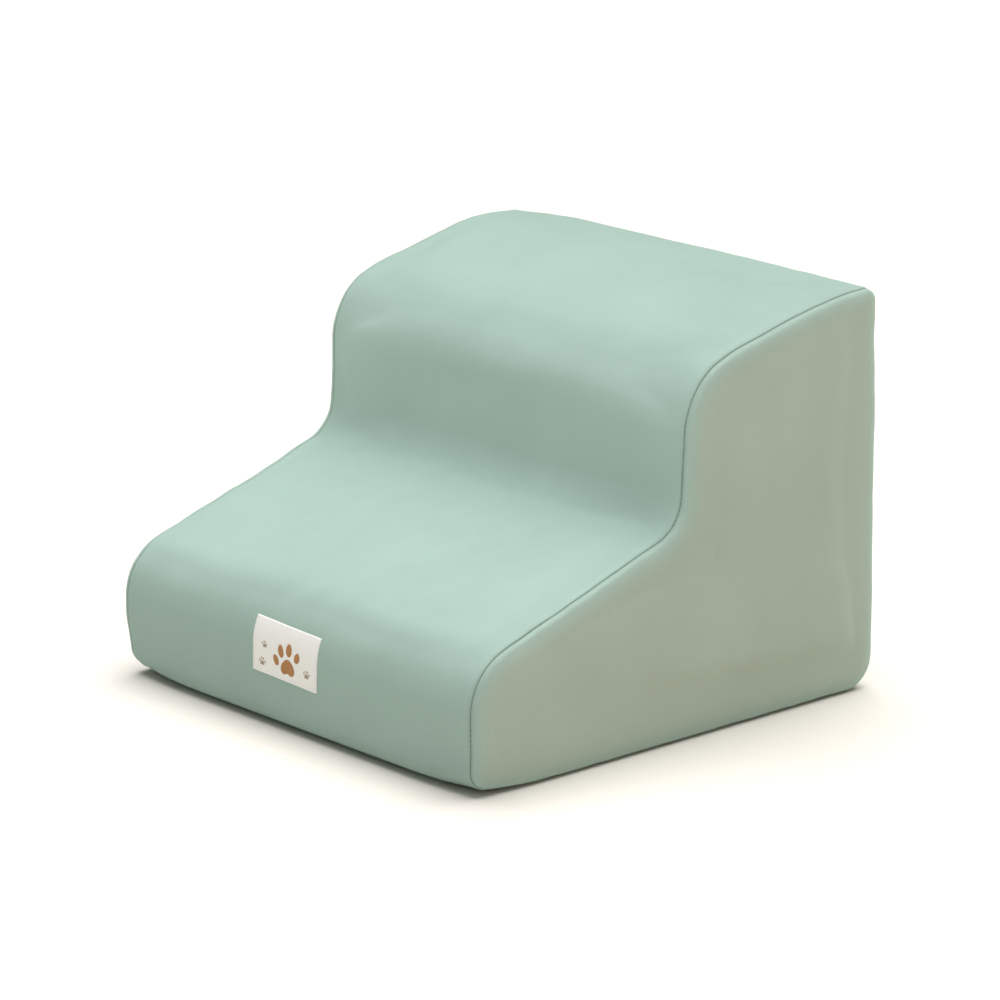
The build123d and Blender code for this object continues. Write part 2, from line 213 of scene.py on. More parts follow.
class Outline:
    """The side outline drawn in by inset: corner i's arc, then line i to corner i + 1."""

    def __init__(self, inset=0.0):
        corners = np.array([(FRONT_Y + d * MM, BASE_Z + h * MM) for d, h, _ in OUTLINE])
        ahead = np.roll(corners, -1, axis=0) - corners
        along = ahead / np.linalg.norm(ahead, axis=1)[:, None]
        out = np.stack([-along[:, 1], along[:, 0]], axis=1)
        before, out_before = np.roll(along, 1, axis=0), np.roll(out, 1, axis=0)
        cross = before[:, 0] * along[:, 1] - before[:, 1] * along[:, 0]
        self.convex = cross < 0
        self.turn = np.arcsin(np.clip(np.abs(cross), 0, 1))
        square = np.sum(before * along, axis=1) < 0
        self.turn[square] = math.pi - self.turn[square]
        radii = np.array([r for _, _, r in OUTLINE]) * MM
        self.radius = np.maximum(np.where(self.convex, radii - inset, radii + inset), 0.3 * MM)
        halfway = out + out_before
        halfway /= np.linalg.norm(halfway, axis=1)[:, None]
        reach = inset / np.cos(self.turn / 2)
        corner = corners - halfway * reach[:, None]
        back_off = (self.radius / np.cos(self.turn / 2))[:, None] * halfway
        self.centre = corner - np.where(self.convex[:, None], back_off, -back_off)
        self.out, self.out_before = out, out_before
        tangent = (self.radius * np.tan(self.turn / 2))[:, None]
        self.line_start = corner + along * tangent
        self.line_end = np.roll(corner - before * tangent, -1, axis=0)
        arcs = self.radius * self.turn
        lines = np.linalg.norm(self.line_end - self.line_start, axis=1)
        self.starts = np.concatenate([[0], np.cumsum(np.stack([arcs, lines], 1).ravel())])
        self.total = self.starts[-1]

    def stations(self, distances):
        """(piece, share along it) for distances along the outline."""
        around = np.mod(distances, self.total)
        piece = np.clip(np.searchsorted(self.starts, around, side="right") - 1, 0, 15)
        share = (around - self.starts[piece]) / (self.starts[piece + 1] - self.starts[piece])
        return piece, share

    def at(self, piece, share):
        """Points and outward normals at stations."""
        i = piece // 2
        angle = share * self.turn[i]
        sign = np.where(self.convex[i], -1.0, 1.0)
        c, s = np.cos(angle), np.sin(angle) * sign
        first = self.out_before[i]
        turned = np.stack([first[:, 0] * c - first[:, 1] * s, first[:, 0] * s + first[:, 1] * c], 1)
        side = np.where(self.convex[i], 1.0, -1.0)
        on_arc = self.centre[i] + turned * (self.radius[i] * side)[:, None]
        on_line = self.line_start[i] + (self.line_end[i] - self.line_start[i]) * share[:, None]
        arc = (piece % 2 == 0)[:, None]
        return np.where(arc, on_arc, on_line), np.where(arc, turned, self.out[i])

    def on_line(self, i, axis, value):
        """Distance along the outline at which line i reaches value on axis 0 (depth) or 1 (height)."""
        a, b = self.line_start[i], self.line_end[i]
        share = (value - a[axis]) / (b[axis] - a[axis])
        return self.starts[2 * i + 1] + share * np.linalg.norm(b - a)

    def mid_arc(self, i):
        """Distance along the outline at the middle of corner i."""
        return (self.starts[2 * i] + self.starts[2 * i + 1]) / 2


# ---------------------------------------------------------------------------
# How the cover sits: swelling, soft foam, softened corners, seams
# ---------------------------------------------------------------------------

_swell = {}


def deselect():
    """Nothing selected, out of edit mode."""
    if bpy.context.object and bpy.context.object.mode != "OBJECT":
        bpy.ops.object.mode_set(mode="OBJECT")
    for each in list(bpy.context.selected_objects):
        each.select_set(False)


def activate(obj):
    """Only obj selected, and active."""
    deselect()
    obj.select_set(True)
    bpy.context.view_layer.objects.active = obj


def apply_all(obj):
    """Applies every modifier of obj in order."""
    activate(obj)
    for modifier in list(obj.modifiers):
        bpy.ops.object.modifier_apply(modifier=modifier.name)


def coordinates(mesh):
    """The mesh's vertices as an array."""
    flat = np.empty(len(mesh.vertices) * 3)
    mesh.vertices.foreach_get("co", flat)
    return flat.reshape(-1, 3)


def copy_of_node(node, name):
    """A free copy of a CAD node's mesh with its loose triangles merged."""
    obj = bpy.data.objects.new(name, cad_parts[node].data.copy())
    bpy.context.scene.collection.objects.link(obj)
    activate(obj)
    bpy.ops.object.mode_set(mode="EDIT")
    bpy.ops.mesh.select_all(action="SELECT")
    bpy.ops.mesh.remove_doubles(threshold=1e-5)
    bpy.ops.object.mode_set(mode="OBJECT")
    return obj


def simulate_swell():
    """Swells one closed copy of the foam as stuffed cloth, and keeps how far each point moved."""
    copies = [copy_of_node(node, "swell_" + node) for node in FOAM_NODES]
    low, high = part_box("zip_tape_lower")[0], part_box("zip_tape_upper")[1]
    foam_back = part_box("core_upper_block")[1].y
    pocket = 8 * MM
    bpy.ops.mesh.primitive_cube_add(
        size=1, location=(0, foam_back - pocket / 2, (low.z + high.z) / 2)
    )
    filler = bpy.context.object
    filler.dimensions = (high.x - low.x + pocket, pocket, high.z - low.z + pocket)
    bpy.ops.object.transform_apply(location=True, rotation=False, scale=True)
    for each in copies:
        each.select_set(True)
    bpy.ops.object.join()
    pad = bpy.context.object
    pad.data.remesh_voxel_size = sizes().swell_voxel
    bpy.ops.object.voxel_remesh()
    at_rest = coordinates(pad.data)
    cloth = pad.modifiers.new("Swell", "CLOTH")
    cloth.settings.quality = 4
    cloth.settings.use_pressure = True
    cloth.settings.uniform_pressure_force = 4.0
    cloth.settings.effector_weights.gravity = 0.0
    cloth.collision_settings.use_collision = False
    scene = bpy.context.scene
    for step in range(1, sizes().swell_frames + 1):
        scene.frame_set(step)
    bpy.ops.object.modifier_apply(modifier=cloth.name)
    moved = coordinates(pad.data) - at_rest
    scene.frame_set(1)
    bpy.data.objects.remove(pad)
    far = np.linalg.norm(moved, axis=1)[:, None]
    cap = sizes().swell_cap
    _swell["moved"] = moved * (cap * np.tanh(far / cap) / np.maximum(far, 1e-9))
    tree = KDTree(len(at_rest))
    for i, place in enumerate(at_rest):
        tree.insert(place, i)
    tree.balance()
    _swell["tree"] = tree


def swell_at(places):
    """The simulated swelling near each place, smoothed over its nearest points."""
    if "tree" not in _swell:
        simulate_swell()
    spread = 1.4 * sizes().swell_voxel
    out = np.empty_like(places)
    moved, tree = _swell["moved"], _swell["tree"]
    for i, place in enumerate(places):
        found = tree.find_n(place, 14)
        index = [f[1] for f in found]
        gap = np.array([f[2] for f in found])
        weight = bell(gap - gap[0], spread)
        out[i] = weight @ moved[index] / weight.sum()
    return out


def smooth(low, high, value):
    """0 at or below low, 1 at or above high, smooth between."""
    t = np.clip((value - low) / (high - low), 0, 1)
    return t * t * (3 - 2 * t)


def bell(distance, spread):
    """1 where distance is nothing, fading to 0 either side of it."""
    return np.exp(-((distance / spread) ** 2))


def ripples(places, wave, seed, count=9):
    """A soft random field from -1 to 1 whose bumps are about wave apart."""
    random = np.random.default_rng(seed)
    total = np.zeros(len(places))
    for _ in range(count):
        direction = random.normal(size=3)
        direction /= np.linalg.norm(direction)
        pitch = wave * random.uniform(0.7, 1.5)
        total += np.sin(places @ direction * (2 * math.pi / pitch) + random.uniform(0, 6.28))
    return total / math.sqrt(count) / 1.5


def settle(places, normals):
    """Where points of the drawn shape lie on the real, soft one."""
    size = sizes()
    x, y, z = places.T
    near_zip = smooth(BACK_Y - 30 * MM, BACK_Y - 12 * MM, y) * (1 - smooth(60 * MM, 110 * MM, z))
    free = smooth(4 * MM, 45 * MM, z) * (1 - near_zip)
    swell = swell_at(places) * free[:, None]
    swell[:, 0] *= 0.55
    sunk = np.minimum(np.sum(swell * normals, axis=1), 0)
    swell -= 0.75 * normals * sunk[:, None]
    soft = 0.7 * ripples(places, 95 * MM, 3) + 0.3 * ripples(places, 34 * MM, 5)
    moved = places + swell + normals * (soft * size.dimple * free)[:, None]

    side = np.sign(x)
    inboard, behind = HALF_WIDTH - np.abs(x), y - FRONT_Y
    round_front = bell(np.hypot(inboard, behind), FRONT_CORNER)
    pull = FRONT_PULL * round_front * (1 - smooth(0, 48 * MM, z))
    moved[:, 0] -= side * pull * 0.7
    moved[:, 1] += pull * 0.7
    moved[:, 2] += FRONT_LIFT * round_front * (1 - smooth(2 * MM, 50 * MM, z))

    from_back = BACK_Y - y
    round_back = bell(np.hypot(inboard, from_back), BACK_CORNER)
    droop = np.where(side < 0, LEFT_DROOP, RIGHT_DROOP) * round_back
    droop *= smooth(200 * MM, 290 * MM, z)
    moved[:, 2] -= droop
    moved[:, 0] -= side * droop * 1.2
    moved[:, 1] -= droop * 1.2
    crown = bell(from_back - CROWN_FROM_BACK, CROWN_SPREAD) * smooth(150 * MM, 290 * MM, z)
    moved[:, 2] += CROWN_RISE * crown * (1 - smooth(-60 * MM, 120 * MM, x))
    return moved


def seam_shape(distance, along, standing):
    """How far cloth near a seam lies off its drawn place. standing is its rolled edge's height."""
    size = sizes()
    roll = size.seam_roll
    inside = np.clip(roll - distance, 0, roll)
    down = roll - np.sqrt(np.maximum(roll**2 - inside**2, 0))
    up = standing * bell(distance - RIDGE_FROM_SEAM, RIDGE_SPREAD)
    wobble = np.sin(along / (9.3 * MM) + 1.7 * np.sin(along / (31 * MM)))
    wobble = 0.6 * wobble + 0.4 * np.sin(along / (4.1 * MM) + 2.0 * np.sin(along / (17 * MM)))
    return up - down + size.pucker * wobble * bell(distance, 6.5 * MM)


# ---------------------------------------------------------------------------
# Meshes
# ---------------------------------------------------------------------------


def mesh_piece(name, points, faces, uv=None, marks=None):
    """A new smooth mesh object. uv has one pair a point; marks are named values a point."""
    mesh = bpy.data.meshes.new(name)
    mesh.from_pydata(points.tolist(), [], faces if isinstance(faces, list) else faces.tolist())
    if uv is not None:
        layer = mesh.uv_layers.new(name="cloth")
        corner = np.empty(len(mesh.loops), int)
        mesh.loops.foreach_get("vertex_index", corner)
        layer.data.foreach_set("uv", uv[corner].ravel())
    for mark, values in (marks or {}).items():
        attribute = mesh.attributes.new(mark, "FLOAT", "POINT")
        attribute.data.foreach_set("value", values.astype(np.float32))
    mesh.polygons.foreach_set("use_smooth", [True] * len(mesh.polygons))
    obj = bpy.data.objects.new(name, mesh)
    bpy.context.scene.collection.objects.link(obj)
    return obj


def grid_faces(rows, columns):
    """Quads of a grid whose points run along columns first."""
    corner = (np.arange(rows - 1)[:, None] * columns + np.arange(columns - 1)).ravel()
    return np.stack([corner, corner + 1, corner + columns + 1, corner + columns], axis=1)


def thicken(obj, thickness):
    """Gives a sheet its thickness, inwards."""
    solid = obj.modifiers.new("Cloth thickness", "SOLIDIFY")
    solid.thickness = thickness
    solid.offset = -1.0
    apply_all(obj)


def finish_piece(obj, material, slot, *nodes, body=BODY):
    """Gives a piece its material, CAD nodes and body; slot is not used."""
    obj.data.materials.clear()
    obj.data.materials.append(material)
    if nodes:
        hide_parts(*nodes)
    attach(obj, body)
    return obj


def repeated(name, unit, places, forward, up):
    """One mesh of many copies of unit's mesh, X along forward and Z along up; unit is removed."""
    base = coordinates(unit.data)
    faces = np.array([list(p.vertices) for p in unit.data.polygons if len(p.vertices) == 4])
    ends = [list(p.vertices) for p in unit.data.polygons if len(p.vertices) != 4]
    count = len(places)
    side = np.cross(up, forward)
    side /= np.linalg.norm(side, axis=1)[:, None]
    lifted = np.cross(forward, side)
    axes = np.stack([forward, side, lifted], axis=1)
    points = np.einsum("vk,nkj->nvj", base, axes) + places[:, None, :]
    shift = (np.arange(count) * len(base))[:, None, None]
    quads = (faces[None] + shift).reshape(-1, 4).tolist() if len(faces) else []
    others = [[v + n * len(base) for v in face] for n in range(count) for face in ends]
    bpy.data.objects.remove(unit)
    return mesh_piece(name, points.reshape(-1, 3), quads + others)


def stitch_unit():
    """One stitch: a grain of thread with dipped ends."""
    deselect()
    bpy.ops.mesh.primitive_uv_sphere_add(segments=8, ring_count=6, radius=1.0)
    unit = bpy.context.object
    unit.rotation_euler = (0, math.pi / 2, 0)
    bpy.ops.object.transform_apply(location=False, rotation=True, scale=False)
    size = sizes()
    unit.scale = (size.stitch / 2, size.thread, size.thread)
    bpy.ops.object.transform_apply(location=False, rotation=False, scale=True)
    for vertex in unit.data.vertices:
        vertex.co.z -= 1.1 * size.thread * (2 * vertex.co.x / size.stitch) ** 2
    return unit


def row_of_stitches(name, line, normals, closed=False):
    """Stitches laid end to end along a line of points."""
    size = sizes()
    if closed:
        line = np.vstack([line, line[:1]])
        normals = np.vstack([normals, normals[:1]])
    step = np.linalg.norm(np.diff(line, axis=0), axis=1)
    run = np.concatenate([[0], np.cumsum(step)])
    count = max(2, int(run[-1] / size.stitch_pitch))
    middle = (np.arange(count) + 0.5) * run[-1] / count
    half = size.stitch / 2

    def sample(values, where):
        return np.stack([np.interp(where, run, values[:, k]) for k in range(3)], axis=1)

    forward = sample(line, middle + half) - sample(line, middle - half)
    forward /= np.linalg.norm(forward, axis=1)[:, None]
    return repeated(name, stitch_unit(), sample(line, middle), forward, sample(normals, middle))


# ---------------------------------------------------------------------------
# Materials
# ---------------------------------------------------------------------------


class Nodes:
    """A short way to add and join shader nodes."""

    def __init__(self, tree):
        self.tree = tree

    def add(self, kind, values=None, **settings):
        node = self.tree.nodes.new("ShaderNode" + kind)
        for key, value in settings.items():
            setattr(node, key, value)
        return self.put_all(node, values or {})

    def put(self, socket, value):
        if isinstance(value, bpy.types.NodeSocket):
            self.tree.links.new(value, socket)
        elif isinstance(value, (tuple, list)) and len(value) == 3 and socket.type == "RGBA":
            socket.default_value = (*value, 1.0)
        else:
            socket.default_value = value

    def put_all(self, node, values):
        for key, value in values.items():
            self.put(node.inputs[key], value)
        return node

    def maths(self, operation, a, b=0.0, c=0.0, clamp=False):
        node = self.add("Math", operation=operation, use_clamp=clamp)
        for socket, value in zip(node.inputs, (a, b, c)):
            self.put(socket, value)
        return node.outputs[0]

    def mix(self, factor, a, b):
        node = self.add("Mix", data_type="RGBA", clamp_factor=True)
        return self.put_all(node, {0: factor, 6: a, 7: b}).outputs[2]

    def noise(self, vector, scale, detail=2.0, roughness=0.5):
        node = self.add("TexNoise", {"Vector": vector, "Scale": scale, "Detail": detail})
        node.inputs["Roughness"].default_value = roughness
        return node.outputs["Fac"]


def new_group(name, inputs, outputs):
    """An empty shader group with named sockets, as (group, nodes, input, output)."""
    group = bpy.data.node_groups.new(name, "ShaderNodeTree")
    for label, kind, default in inputs:
        socket = group.interface.new_socket(name=label, in_out="INPUT", socket_type=kind)
        if default is not None:
            socket.default_value = default
    for label, kind in outputs:
        group.interface.new_socket(name=label, in_out="OUTPUT", socket_type=kind)
    start = group.nodes.new("NodeGroupInput")
    end = group.nodes.new("NodeGroupOutput")
    return group, Nodes(group), start, end


def cloth_group():
    """Plain weave under a brushed nap. Puts out a tone from 0 to 1 and a height."""
    name = "Brushed cloth"
    if name in bpy.data.node_groups:
        return bpy.data.node_groups[name]
    group, nodes, start, end = new_group(
        name,
        [
            ("Vector", "NodeSocketVector", None),
            ("Place", "NodeSocketVector", None),
            ("Threads per metre", "NodeSocketFloat", 1400.0),
            ("Nap", "NodeSocketFloat", 0.5),
            ("Mottle", "NodeSocketFloat", 0.5),
        ],
        [("Tone", "NodeSocketFloat"), ("Height", "NodeSocketFloat")],
    )
    split = nodes.add("SeparateXYZ", {"Vector": start.outputs["Vector"]})
    pitch = start.outputs["Threads per metre"]
    waves = []
    for axis in ("X", "Y"):
        turned = nodes.maths("MULTIPLY", split.outputs[axis], pitch)
        turned = nodes.maths("MULTIPLY", turned, math.pi)
        waves.append(nodes.maths("ABSOLUTE", nodes.maths("SINE", turned)))
    weave = nodes.maths("MULTIPLY", waves[0], waves[1])
    place = start.outputs["Place"]
    nap_fine = nodes.noise(place, 1900.0, 3.0, 0.65)
    nap_soft = nodes.noise(place, 260.0, 4.0, 0.6)
    patches = nodes.noise(place, 11.0, 3.0, 0.5)
    nap = nodes.maths("MULTIPLY_ADD", nap_fine, 0.6, nodes.maths("MULTIPLY", nap_soft, 0.4))
    blend = nodes.add("Mix", data_type="FLOAT", clamp_factor=True)
    nodes.put_all(blend, {0: start.outputs["Nap"], 2: weave, 3: nap})
    height = blend.outputs[0]
    large = nodes.maths("MULTIPLY", nodes.maths("SUBTRACT", patches, 0.5), start.outputs["Mottle"])
    small = nodes.maths("MULTIPLY", nodes.maths("SUBTRACT", height, 0.5), 0.55)
    tone = nodes.maths("ADD", nodes.maths("ADD", large, small), 0.5, clamp=True)
    nodes.put_all(end, {"Tone": tone, "Height": height})
    return group


def foam_group():
    """Open cells of cut foam. Puts out a tone and a height."""
    name = "Foam cells"
    if name in bpy.data.node_groups:
        return bpy.data.node_groups[name]
    group, nodes, start, end = new_group(
        name,
        [("Place", "NodeSocketVector", None), ("Cells per metre", "NodeSocketFloat", 900.0)],
        [("Tone", "NodeSocketFloat"), ("Height", "NodeSocketFloat")],
    )
    cells = nodes.add(
        "TexVoronoi",
        {"Vector": start.outputs["Place"], "Scale": start.outputs["Cells per metre"]},
    )
    patches = nodes.noise(start.outputs["Place"], 30.0, 3.0)
    broad = nodes.maths("MULTIPLY", patches, 0.6)
    tone = nodes.maths("MULTIPLY_ADD", cells.outputs["Distance"], 0.6, broad)
    nodes.put_all(end, {"Tone": tone, "Height": cells.outputs["Distance"]})
    return group


def wear_group():
    """Faint rubbing and dust on hard parts. Puts out a mask and a height."""
    name = "Rubbed and dusty"
    if name in bpy.data.node_groups:
        return bpy.data.node_groups[name]
    group, nodes, start, end = new_group(
        name,
        [("Place", "NodeSocketVector", None), ("Grain per metre", "NodeSocketFloat", 400.0)],
        [("Mask", "NodeSocketFloat"), ("Height", "NodeSocketFloat")],
    )
    fine = nodes.noise(start.outputs["Place"], start.outputs["Grain per metre"], 4.0, 0.6)
    broad = nodes.noise(start.outputs["Place"], 60.0, 2.0)
    mask = nodes.maths("MULTIPLY", nodes.maths("SUBTRACT", fine, 0.42), 2.4, clamp=True)
    nodes.put_all(end, {"Mask": nodes.maths("MULTIPLY", mask, broad), "Height": fine})
    return group


def start_material(name):
    """A new material with its nodes, Principled shader and texture coordinates."""
    material = bpy.data.materials.new(name)
    material.use_nodes = True
    tree = material.node_tree
    shader = next(n for n in tree.nodes if n.type == "BSDF_PRINCIPLED")
    nodes = Nodes(tree)
    return material, nodes, shader, nodes.add("TexCoord")


def place_group(nodes, group, values):
    """A shader group placed in a material."""
    return nodes.put_all(nodes.add("Group", node_tree=group), values)


def shade(rgb, factor):
    """A colour made lighter or darker."""
    return tuple(min(1.0, c * factor) for c in rgb)


def bump(nodes, shader, height, strength, distance):
    """Joins a height to the shader's normal."""
    node = nodes.add("Bump", {"Height": height, "Strength": strength, "Distance": distance})
    nodes.put(shader.inputs["Normal"], node.outputs["Normal"])


def cloth_material(
    name, rgb, threads=1400.0, nap=0.6, mottle=0.5, contrast=0.17, sheen=0.5, relief=0.5, uv=True,
    seams=False, edge=None,
):
    """Cloth: tone from weave, nap and faint patches; painted shade darkens it where it turns into a seam.

    edge is the colour of its rolled edge, where that differs: on the side panels the mint, where their
    painted warm side light gives way on the edge that turns up to the top light."""
    material, nodes, shader, where = start_material(name)
    weave = place_group(
        nodes,
        cloth_group(),
        {
            "Vector": where.outputs["UV"] if uv else where.outputs["Object"],
            "Place": where.outputs["Object"],
            "Threads per metre": threads,
            "Nap": nap,
            "Mottle": mottle,
        },
    )
    tint = nodes.mix(weave.outputs["Tone"], shade(rgb, 1 - contrast), shade(rgb, 1 + contrast))
    # Painted light: on the side panels the painted warm side light gives way to the mint across the rolled
    # edge, which turns up to the overhead light like the top.
    if edge is not None:
        rolled = nodes.add("Attribute", attribute_name="rolled")
        fresh = nodes.mix(weave.outputs["Tone"], shade(edge, 1 - contrast), shade(edge, 1 + contrast))
        tint = nodes.mix(rolled.outputs["Fac"], tint, fresh)
    # Painted shade: the cloth is darkened towards half its colour in a seam's groove, where shade falls.
    if seams:
        near = nodes.add("Attribute", attribute_name="seam")
        tint = nodes.mix(nodes.maths("MULTIPLY", near.outputs["Fac"], 0.3), tint, shade(rgb, 0.5))
    finish = {
        "Base Color": tint,
        "Roughness": nodes.maths("MULTIPLY_ADD", weave.outputs["Height"], -0.12, 0.94),
        "Specular IOR Level": 0.25,
        "Sheen Weight": sheen,
        "Sheen Roughness": 0.45,
        "Sheen Tint": shade(rgb, 1.9),
    }
    nodes.put_all(shader, finish)
    bump(nodes, shader, weave.outputs["Height"], relief, 0.0005)
    return material


def foam_material(name, rgb, cells):
    """Cut foam."""
    material, nodes, shader, where = start_material(name)
    made = place_group(
        nodes, foam_group(), {"Place": where.outputs["Object"], "Cells per metre": cells}
    )
    tint = nodes.mix(made.outputs["Tone"], shade(rgb, 0.78), shade(rgb, 1.1))
    nodes.put_all(shader, {"Base Color": tint, "Roughness": 0.95})
    bump(nodes, shader, made.outputs["Height"], 0.5, 0.0006)
    return material


def hard_material(name, rgb, rough, metallic=0.0, coat=0.0, grain=400.0):
    """Painted metal, plastic or rubber with faint rubbing."""
    material, nodes, shader, where = start_material(name)
    worn = place_group(
        nodes, wear_group(), {"Place": where.outputs["Object"], "Grain per metre": grain}
    )
    finish = {
        "Base Color": nodes.mix(worn.outputs["Mask"], rgb, shade(rgb, 1.35)),
        "Roughness": nodes.maths("MULTIPLY_ADD", worn.outputs["Mask"], 0.25, rough),
        "Metallic": metallic,
        "Coat Weight": coat,
    }
    nodes.put_all(shader, finish)
    bump(nodes, shader, worn.outputs["Height"], 0.12, 0.0001)
    return material


def once(name, make, *args, **values):
    """The material of that name, made the first time it is asked for."""
    return bpy.data.materials.get(name) or make(name, *args, **values)


def woven(name, key, **values):
    """A cloth in the colour of that name."""
    return once(name, cloth_material, tuple(getattr(colours(), key)), **values)


def spun(name, key):
    """A sewing thread in the colour of that name."""
    return woven(name, key, threads=5000.0, nap=0.3, uv=False)


# ---------------------------------------------------------------------------
# The drawn shape as a grid
# ---------------------------------------------------------------------------


def drawn(across, along, inset=0.0):
    """Points and outward normals on a grid.

    across is an arc distance a column, and along an outline distance a row or a point."""
    radius = sizes().edge_radius
    edge = HALF_WIDTH - radius
    along = np.asarray(along, float)
    if along.ndim == 1:
        along = np.repeat(along[:, None], len(across), axis=1)
    outer = Outline()
    points = np.empty((*along.shape, 3))
    normals = np.empty_like(points)
    for k, u in enumerate(across):
        lean = min(max((abs(u) - edge) / radius, 0.0), math.pi / 2)
        turned_in = inset + (radius - inset) * (1 - math.cos(lean))
        place, out = Outline(turned_in).at(*outer.stations(along[:, k]))
        reach = min(abs(u), edge) + (radius - inset) * math.sin(lean)
        points[:, k, 0] = math.copysign(reach, u)
        points[:, k, 1:] = place
        normals[:, k, 0] = math.copysign(math.sin(lean), u)
        normals[:, k, 1:] = out * math.cos(lean)
    return points, normals


def seam_across():
    """Arc distance from the middle to the side seam."""
    radius = sizes().edge_radius
    edge = HALF_WIDTH - radius
    return edge + radius * math.asin((SEAM_X - edge) / radius)


def edge_across():
    """Arc distance from the middle to the flat of the side."""
    radius = sizes().edge_radius
    return HALF_WIDTH - radius + radius * math.pi / 2


def laid(across, along, lift):
    """Points on the settled cover, and their normals, lifted off it."""
    points, normals = drawn(across, along)
    shape = points.shape
    flat, out = points.reshape(-1, 3), normals.reshape(-1, 3)
    lift = np.broadcast_to(lift, shape[:2]).reshape(-1)
    placed = settle(flat, out) + out * lift[:, None]
    return placed.reshape(shape), out.reshape(shape)


def outward(points, faces, normals):
    """The faces, turned round if they face inwards."""
    a, b, c = points[faces[:, 0]], points[faces[:, 1]], points[faces[:, 2]]
    facing = np.sum(np.cross(b - a, c - a) * normals[faces[:, 0]])
    return faces if facing > 0 else faces[:, ::-1]


def paced(start, end, step, turn=6.0):
    """Distances from start to end of the outline: about step apart, and closer round corners."""
    line = Outline()
    fine = np.linspace(start, end, 4001)
    piece, _ = line.stations((fine[:-1] + fine[1:]) / 2)
    corner = piece // 2
    on_arc = piece % 2 == 0
    turn_rate = np.where(on_arc, 1 / line.radius[corner], 0.0)
    rate = np.maximum(1 / step, turn_rate / math.radians(turn))
    run = np.concatenate([[0], np.cumsum(rate * np.diff(fine))])
    count = max(2, math.ceil(run[-1]))
    return np.interp(np.linspace(0, run[-1], count + 1), run, fine)


NEAR_SEAM = np.array([0, 0.08, 0.25, 0.5, 0.8, 1.15, 1.6, 2.2, 3.0, 4.2, 5.8, 7.8, 10.5]) * MM


def rows_between(start, end):
    """Distances along the outline between two seams, closer beside each."""
    middle = paced(start + NEAR_SEAM[-1], end - NEAR_SEAM[-1], sizes().grid)
    return np.concatenate([start + NEAR_SEAM[:-1], middle, end - NEAR_SEAM[-2::-1]])


def columns_between():
    """Arc distances across, from the left side seam to the right one."""
    reach = seam_across() - sizes().seam_gap
    inner = reach - NEAR_SEAM[-1]
    count = round(2 * inner / sizes().grid)
    middle = np.linspace(-inner, inner, count + 1)
    return np.concatenate([-reach + NEAR_SEAM[:-1], middle, reach - NEAR_SEAM[-2::-1]])


def meets():
    """Distances along the outline of the panels' seams, by name."""
    line = Outline()
    inset_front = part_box("front_base_seam")
    inset_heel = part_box("heel_base_seam")
    front = line.on_line(HEEL, 0, (inset_front[0].y + inset_front[1].y) / 2)
    heel = line.on_line(HEEL, 0, (inset_heel[0].y + inset_heel[1].y) / 2)
    return {
        "front": front - line.total,
        "back_top": line.on_line(BACK_TOP, 1, BACK_SEAM_Z),
        "zip": line.on_line(BACK_TOP, 1, ZIP_Z),
        "heel": heel,
        "base_end": front,
    }


# ---------------------------------------------------------------------------
# Cover panels
# ---------------------------------------------------------------------------


def panel(name, rows, columns, standing, shift=None):
    """A panel between two end seams and the side seams. shift moves points along the outline."""
    size = sizes()
    along = np.repeat(rows[:, None], len(columns), axis=1)
    if shift is not None:
        along = along + shift(rows, columns)
    points, normals = drawn(columns, along)
    flat, out = points.reshape(-1, 3), normals.reshape(-1, 3)
    across, place = (values.ravel() for values in np.meshgrid(columns, rows))
    side, start, end = seam_across() - np.abs(across), place - rows[0], rows[-1] - place
    offset = seam_shape(side, along.ravel(), standing)
    for distance in (start, end):
        offset = offset + seam_shape(distance, across, standing)
    offset = np.maximum(offset, -size.seam_roll)
    placed = settle(flat, out) + out * offset[:, None]
    nearest = np.minimum(side, np.minimum(start, end))
    faces = outward(placed, grid_faces(len(rows), len(columns)), out)
    uv = np.stack([across, along.ravel()], axis=1)
    # The seam mark carries the painted shade in the grooves of the seams.
    obj = mesh_piece(name, placed, faces, uv=uv, marks={"seam": bell(nearest, SEAM_SHADE_MARK)})
    thicken(obj, size.cloth)
    return obj


def slot_shift(half_height, toward):
    """Moves a panel's zip edge from the slot's middle to its side, along the length of the slot."""
    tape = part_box("zip_tape_upper")
    slot_half = tape[1].x

    def shift(rows, columns):
        open_here = smooth(slot_half + 1.0 * MM, slot_half - 4.0 * MM, np.abs(columns))
        edge = rows[-1] if toward < 0 else rows[0]
        near = np.clip(1 - np.abs(rows - edge) / (14 * MM), 0, 1) ** 1.5
        return toward * half_height * near[:, None] * open_here[None, :]

    return shift


def paired(first, second, step, turn):
    """Distances along two facing runs of the outline, as many in one as in the other.

    The counts match between each pair of breaks, and both runs come out in rising order."""
    runs_first, runs_second, total = [], [], 0
    for a, b, c, d in zip(first[:-1], first[1:], second[:-1], second[1:]):
        one, two = paced(a, b, step, turn), paced(min(c, d), max(c, d), step, turn)
        count = max(len(one), len(two)) - 1
        one, two = (
            np.interp(np.linspace(0, len(run) - 1, count + 1), np.arange(len(run)), run)
            for run in (one, two)
        )
        runs_first.append(one[:-1])
        runs_second.append(two[:0:-1] if c > d else two[:-1])
        total += count
    forward = np.concatenate([*runs_first, [first[-1]]])
    facing = np.concatenate([*runs_second, [second[-1]]])
    return forward, np.sort(facing), total


